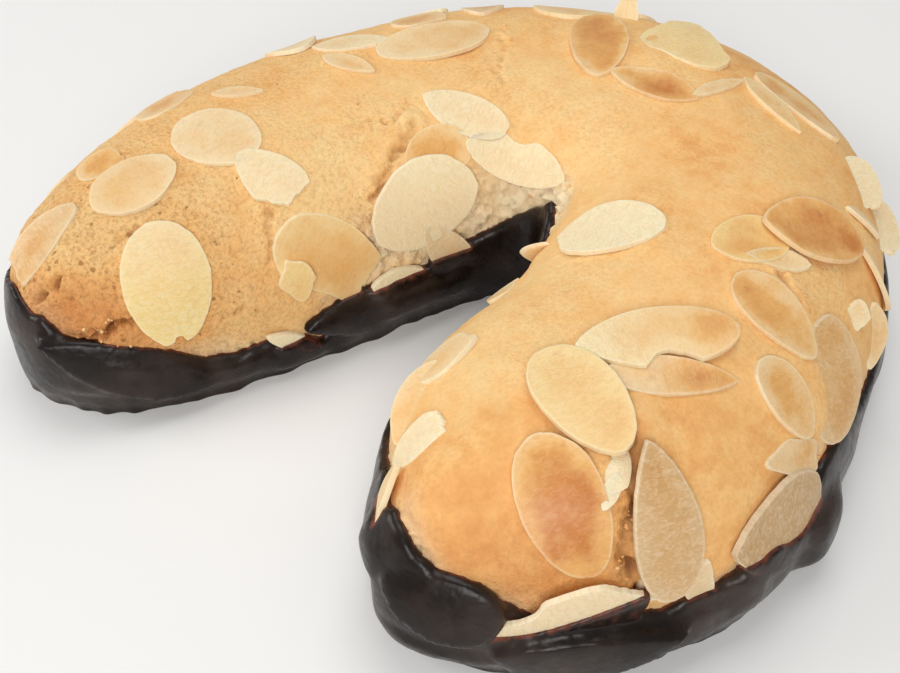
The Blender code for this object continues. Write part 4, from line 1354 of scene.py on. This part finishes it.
# %% The shell of the coat
COAT_COLUMNS = 480
COAT_ROWS = np.linspace(0.06, 1.0, 14)
COAT_SINK = 1.1  # how far the coat's hidden side lies inside the dough
COAT_LID = 2.6  # height of the coat's floor, inside the dough
LEAST_COAT = 0.3
RIM_LIP = [(0.45, 0.25), (0.3, -0.5)]  # the rounded lip: how far above the rim, and how far out
HIDDEN_DROPS = (0.5, 1.5, 2.6)  # how far below the rim the rings of the hidden side lie
RIM_SWING, RIM_WAVES = 0.9, [(1.0, 9), (0.5, 26), (0.35, 80)]  # share and fineness of the rim's waves
FOOT_SWING, FOOT_WAVES = 0.8, 26
BELOW = 2.0  # the shell starts this far below the table, and is cut flat there


def round_noise(w, fineness, seed):
    """Noise that runs round the edge and closes on itself."""
    angles = np.atleast_1d(w) * 2 * np.pi / ROUND
    return np.array([noise.noise(Vector((math.cos(a) * fineness, math.sin(a) * fineness, seed)))
                     for a in angles])


def rim_edge(w):
    """The rim's height with the small ins and outs that melted chocolate has."""
    fine = sum(share * round_noise(w, fineness, share) for share, fineness in RIM_WAVES)
    return rim_height(w) + RIM_SWING * fine


def foot_ripple(w):
    """Small ins and outs of the foot's edge, where the coat set on the tray."""
    return FOOT_SWING * round_noise(w, FOOT_WAVES, 5.5)


def coat_shell():
    around = even_columns(COAT_COLUMNS)
    base, _ = ridge(around)
    rim = rim_edge(around)
    foot = coat_thickness(around, 0 * rim, rim) + scallops(skin(around, -90)) + GAP
    foot = foot + foot_ripple(around)
    rings = [np.column_stack([base, np.full(len(around), -BELOW)])]
    for z in (-BELOW, 0.0):
        rings.append(np.column_stack([edge(around, foot), np.full(len(around), z)]))
    for share in COAT_ROWS:
        z = rim * share
        climb = climb_at(around, z)
        out = coat_thickness(around, z, rim) + scallops(skin(around, climb)) * (1 - share)
        out = np.maximum(out, LEAST_COAT) + foot_ripple(around) * np.exp(-z / 2)
        rings.append(skin(around, climb, out + GAP))
    rings += [skin(around, climb_at(around, rim + above), out) for above, out in RIM_LIP]
    for drop in HIDDEN_DROPS:
        rings.append(skin(around, climb_at(around, np.maximum(rim - drop, COAT_LID)), -COAT_SINK))
    rings.append(np.column_stack([base, np.full(len(around), COAT_LID)]))
    return shell(rings)


print("foot and rim of the coat:", coat_thickness(5.0, np.array([0.0, 11.0]), 11.0).round(2), "mm thick")


# %% The coat on the flakes
JACKET = 0.45  # how thick the coat is on a flake that stands in it
# Flakes that stand in the chocolate, by their place in the list: the height of the coat on them, and how
# much that height climbs for each millimetre along w.
DIPPED = {12: (12.0, 0), 13: (6.4, 0), 40: (12.6, 0.25), 47: (13.2, -0.37), 48: (11.2, 0), 50: (11.6, 0),
          53: (14.6, 0), 59: (10.6, 0)}
PLATES = [
    # flakes wholly under the coat: w, b, turn, length, width, kind, lift, lean
    (9.73, 9, -3, 15.5, 8.2, "whole", 2.3, 22), (9.02, -24, 6, 24, 8.6, "broken", 3.1, 4),
    (18.68, -4, -24, 26, 7.5, "lens", 1.5, 20), (16.9, -28, -8, 22, 7.6, "lens", 1.0, 12),
    (7.75, -10, 80, 10, 7, "whole", 1.2, 0),
]
PLATE_CROWN = 0.4  # how far the middle of the coat on such a flake stands above its edge


def jacket(number, top, climb):
    """The coat on a flake that stands in the chocolate, up to a height that may climb along it."""
    outline, frame_of, height = flake_sheet(dough_tree, number, all_flakes[number])
    reach = np.linalg.norm(outline, axis=1)
    grown = outline * ((reach + JACKET) / reach)[:, None]
    points, faces, _, _ = flake_plate(grown, frame_of, lambda u, v: height(u, v) + JACKET,
                                      FLAKE_THICK + 1.5 * JACKET)
    piece = stack_meshes("jacket", [(points, faces)], chocolate_finish)
    w = all_flakes[number][0]
    _, _, along, _ = seat(w, 0)
    cut_off(piece, (*(edge(w)[0] * MM), top * MM), (-climb * along[0], -climb * along[1], 1))
    return piece


def plate(place):
    """The coat on a flake that lies wholly under it."""
    w, b, turn, length, width, kind, lift, lean = place
    row = (w, b, turn, length, width, kind, lean, 0, 0, 0)
    outline, frame_of, height = flake_sheet(dough_tree, UNDER_COAT + PLATES.index(place), row)
    points, faces, _, _ = flake_plate(outline, frame_of, lambda u, v: height(u, v) + lift,
                                      FLAKE_THICK + 2 * JACKET, -PLATE_CROWN)
    return stack_meshes("plate", [(points, faces)], chocolate_finish)


print(len(DIPPED), "flakes stand in the chocolate and", len(PLATES), "lie under it")


# %% Melt the coat into one skin
COAT_NET = 0.51
SMOOTH_ROUNDS = 2
THIN_EDGE = 0.75  # the coat looks reddish this close to the dough and the almonds


def join(target, others):
    """Adds the meshes of other objects to a target object and removes those objects."""
    bm = bmesh.new()
    for obj in [target] + others:
        bm.from_mesh(obj.data)
    bm.to_mesh(target.data)
    bm.free()
    for obj in others:
        bpy.data.objects.remove(obj)


def smooth(obj, rounds, factor=0.5):
    modifier = obj.modifiers.new("smooth", "SMOOTH")
    modifier.iterations = rounds
    modifier.factor = factor
    apply_modifiers(obj)


def distance_to(tree, points, reach):
    """How far each point is from a surface, up to a reach."""
    found = [tree.find_nearest(Vector(point), reach)[3] for point in points]
    return np.array([reach if far is None else far for far in found])


def make_chocolate():
    coat = new_piece("chocolate_coat", coat_shell(), chocolate_finish)
    covered = [jacket(number, *heights) for number, heights in DIPPED.items()]
    join(coat, covered + [plate(place) for place in PLATES])
    voxel_remesh(coat, COAT_NET)
    smooth(coat, SMOOTH_ROUNDS)
    cut_off(coat, (0, 0, 0), (0, 0, -1))
    points, _ = mesh_points(coat.data)
    bare = surface_tree(dough, *almonds)
    store(coat.data, "thin", np.clip(1 - distance_to(bare, points, THIN_EDGE) / THIN_EDGE, 0, 1))
    return coat


chocolate = make_chocolate()
print("chocolate:", len(chocolate.data.polygons), "faces")


# %% [markdown]
# ## Loose crumbs
#
# A few crumbs of dough and almond lie where the dough split and along the coat. They are all the same
# kind of thing in many places, so Geometry Nodes scatter them: points on the dough's faces where a number
# stored on it is high, one small uneven lump on each, turned and sized at random. There are only about
# sixty of them, so a lump may have 80 faces.

# %% Scatter the crumbs
CRUMB_SETTINGS = {
    "Most in a square metre": 9.0e5,
    "Smallest": 0.25 * MM,
    "Largest": 0.60 * MM,
    "Seed": 7,
}
CRUMB_CLEAR = 1.3  # no crumbs this close to an almond, in millimetres
CRUMB_FACES = 80
CRUMB_SPOTS = [
    # w, b, half size in mm, share of the most
    (8.8, 38, 2.5, 0.9), (8.84, 22, 2.5, 0.7), (18.9, 14, 4, 0.35), (7.05, 24, 3, 0.9), (17.4, 36, 3, 0.3),
    (16.65, 45, 2.5, 0.5), (15.3, 26, 5, 0.4), (16.5, 76, 2.5, 0.4), (4.1, 80, 3, 0.3), (6.6, 60, 3, 0.5),
]


def crumb_tree(material):
    tree, given = new_tree("loose_crumbs", CRUMB_SETTINGS)
    node = functools.partial(add_node, tree)
    seed = given.outputs["Seed"]
    share = node("GeometryNodeInputNamedAttribute", {"Name": "scatter"}, data_type="FLOAT")
    density = node(MATH, [share, given.outputs["Most in a square metre"]], operation="MULTIPLY")
    points = node("GeometryNodeDistributePointsOnFaces",
                  {"Mesh": given.outputs["Geometry"], "Density": density, "Seed": seed})
    ball = node("GeometryNodeMeshIcoSphere", {"Radius": 0.5, "Subdivisions": 2})
    uneven = node(NOISE, {"Scale": 3.0, "Detail": 1.0})
    push = node(VECTOR, [uneven.outputs["Color"], (0.5, 0.5, 0.5)], operation="SUBTRACT")
    lump = node("GeometryNodeSetPosition", {"Geometry": ball, "Offset": push})
    turn = node("FunctionNodeRandomValue", {"Max": (6.28, 6.28, 6.28), "Seed": seed},
                data_type="FLOAT_VECTOR")
    size = node("FunctionNodeRandomValue", {2: given.outputs["Smallest"], 3: given.outputs["Largest"],
                                            "Seed": seed}, data_type="FLOAT")
    placed = node("GeometryNodeInstanceOnPoints",
                  {"Points": points, "Instance": lump, "Rotation": turn, "Scale": size})
    real = node("GeometryNodeRealizeInstances", [placed])
    finished = node("GeometryNodeSetMaterial", {"Geometry": real, "Material": material})
    node("NodeGroupOutput", {"Geometry": finished})
    return tree


def toasted_crumb():
    """Crumbs of dough and almond dust, gold to pale and matt."""
    material, tree, shader = new_material("toasted_crumb")
    node = functools.partial(add_node, tree)
    place = node("ShaderNodeTexCoord").outputs["Object"]
    kind = node(NOISE, {"Vector": place, "Scale": 1 / (3 * MM), "Detail": 2.0})
    crumb = node(MIX, {0: node(RANGE, [kind, 0.4, 0.6]), 6: colour(DOUGH_GOLD), 7: colour(DOUGH_PALE)},
                 data_type="RGBA")
    plug(tree, shader, {"Base Color": crumb, "Roughness": 0.7})
    return material


def make_crumbs():
    crumbs = bpy.data.objects.new("loose_crumbs", dough.data.copy())
    bpy.context.collection.objects.link(crumbs)
    points, _ = mesh_points(crumbs.data)
    bare = points[:, 2] > rim_height(plan_w(points)) + 0.5
    open_dough = distance_to(surface_tree(*almonds), points, CRUMB_CLEAR) >= CRUMB_CLEAR
    store(crumbs.data, "scatter", spots_at(points, CRUMB_SPOTS, 0.0) * bare * open_dough)
    run_tree(crumbs, crumb_tree(toasted_crumb()), CRUMB_SETTINGS)
    crumbs.data.shade_smooth()
    return crumbs


crumbs = make_crumbs()
print("crumbs:", len(crumbs.data.polygons) // CRUMB_FACES)


# %% [markdown]
# ## The pieces on the body
#
# The dough stands in for the plain dough, together with the almonds that the plain solid carries fused
# to it. The coat stands in for the plain chocolate. Each piece rides on the one body.

BODY = "root"
for piece in [dough, chocolate, crumbs] + almonds:
    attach(piece, BODY)
for piece in [dough, crumbs] + almonds:
    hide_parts("dough")
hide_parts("chocolate")
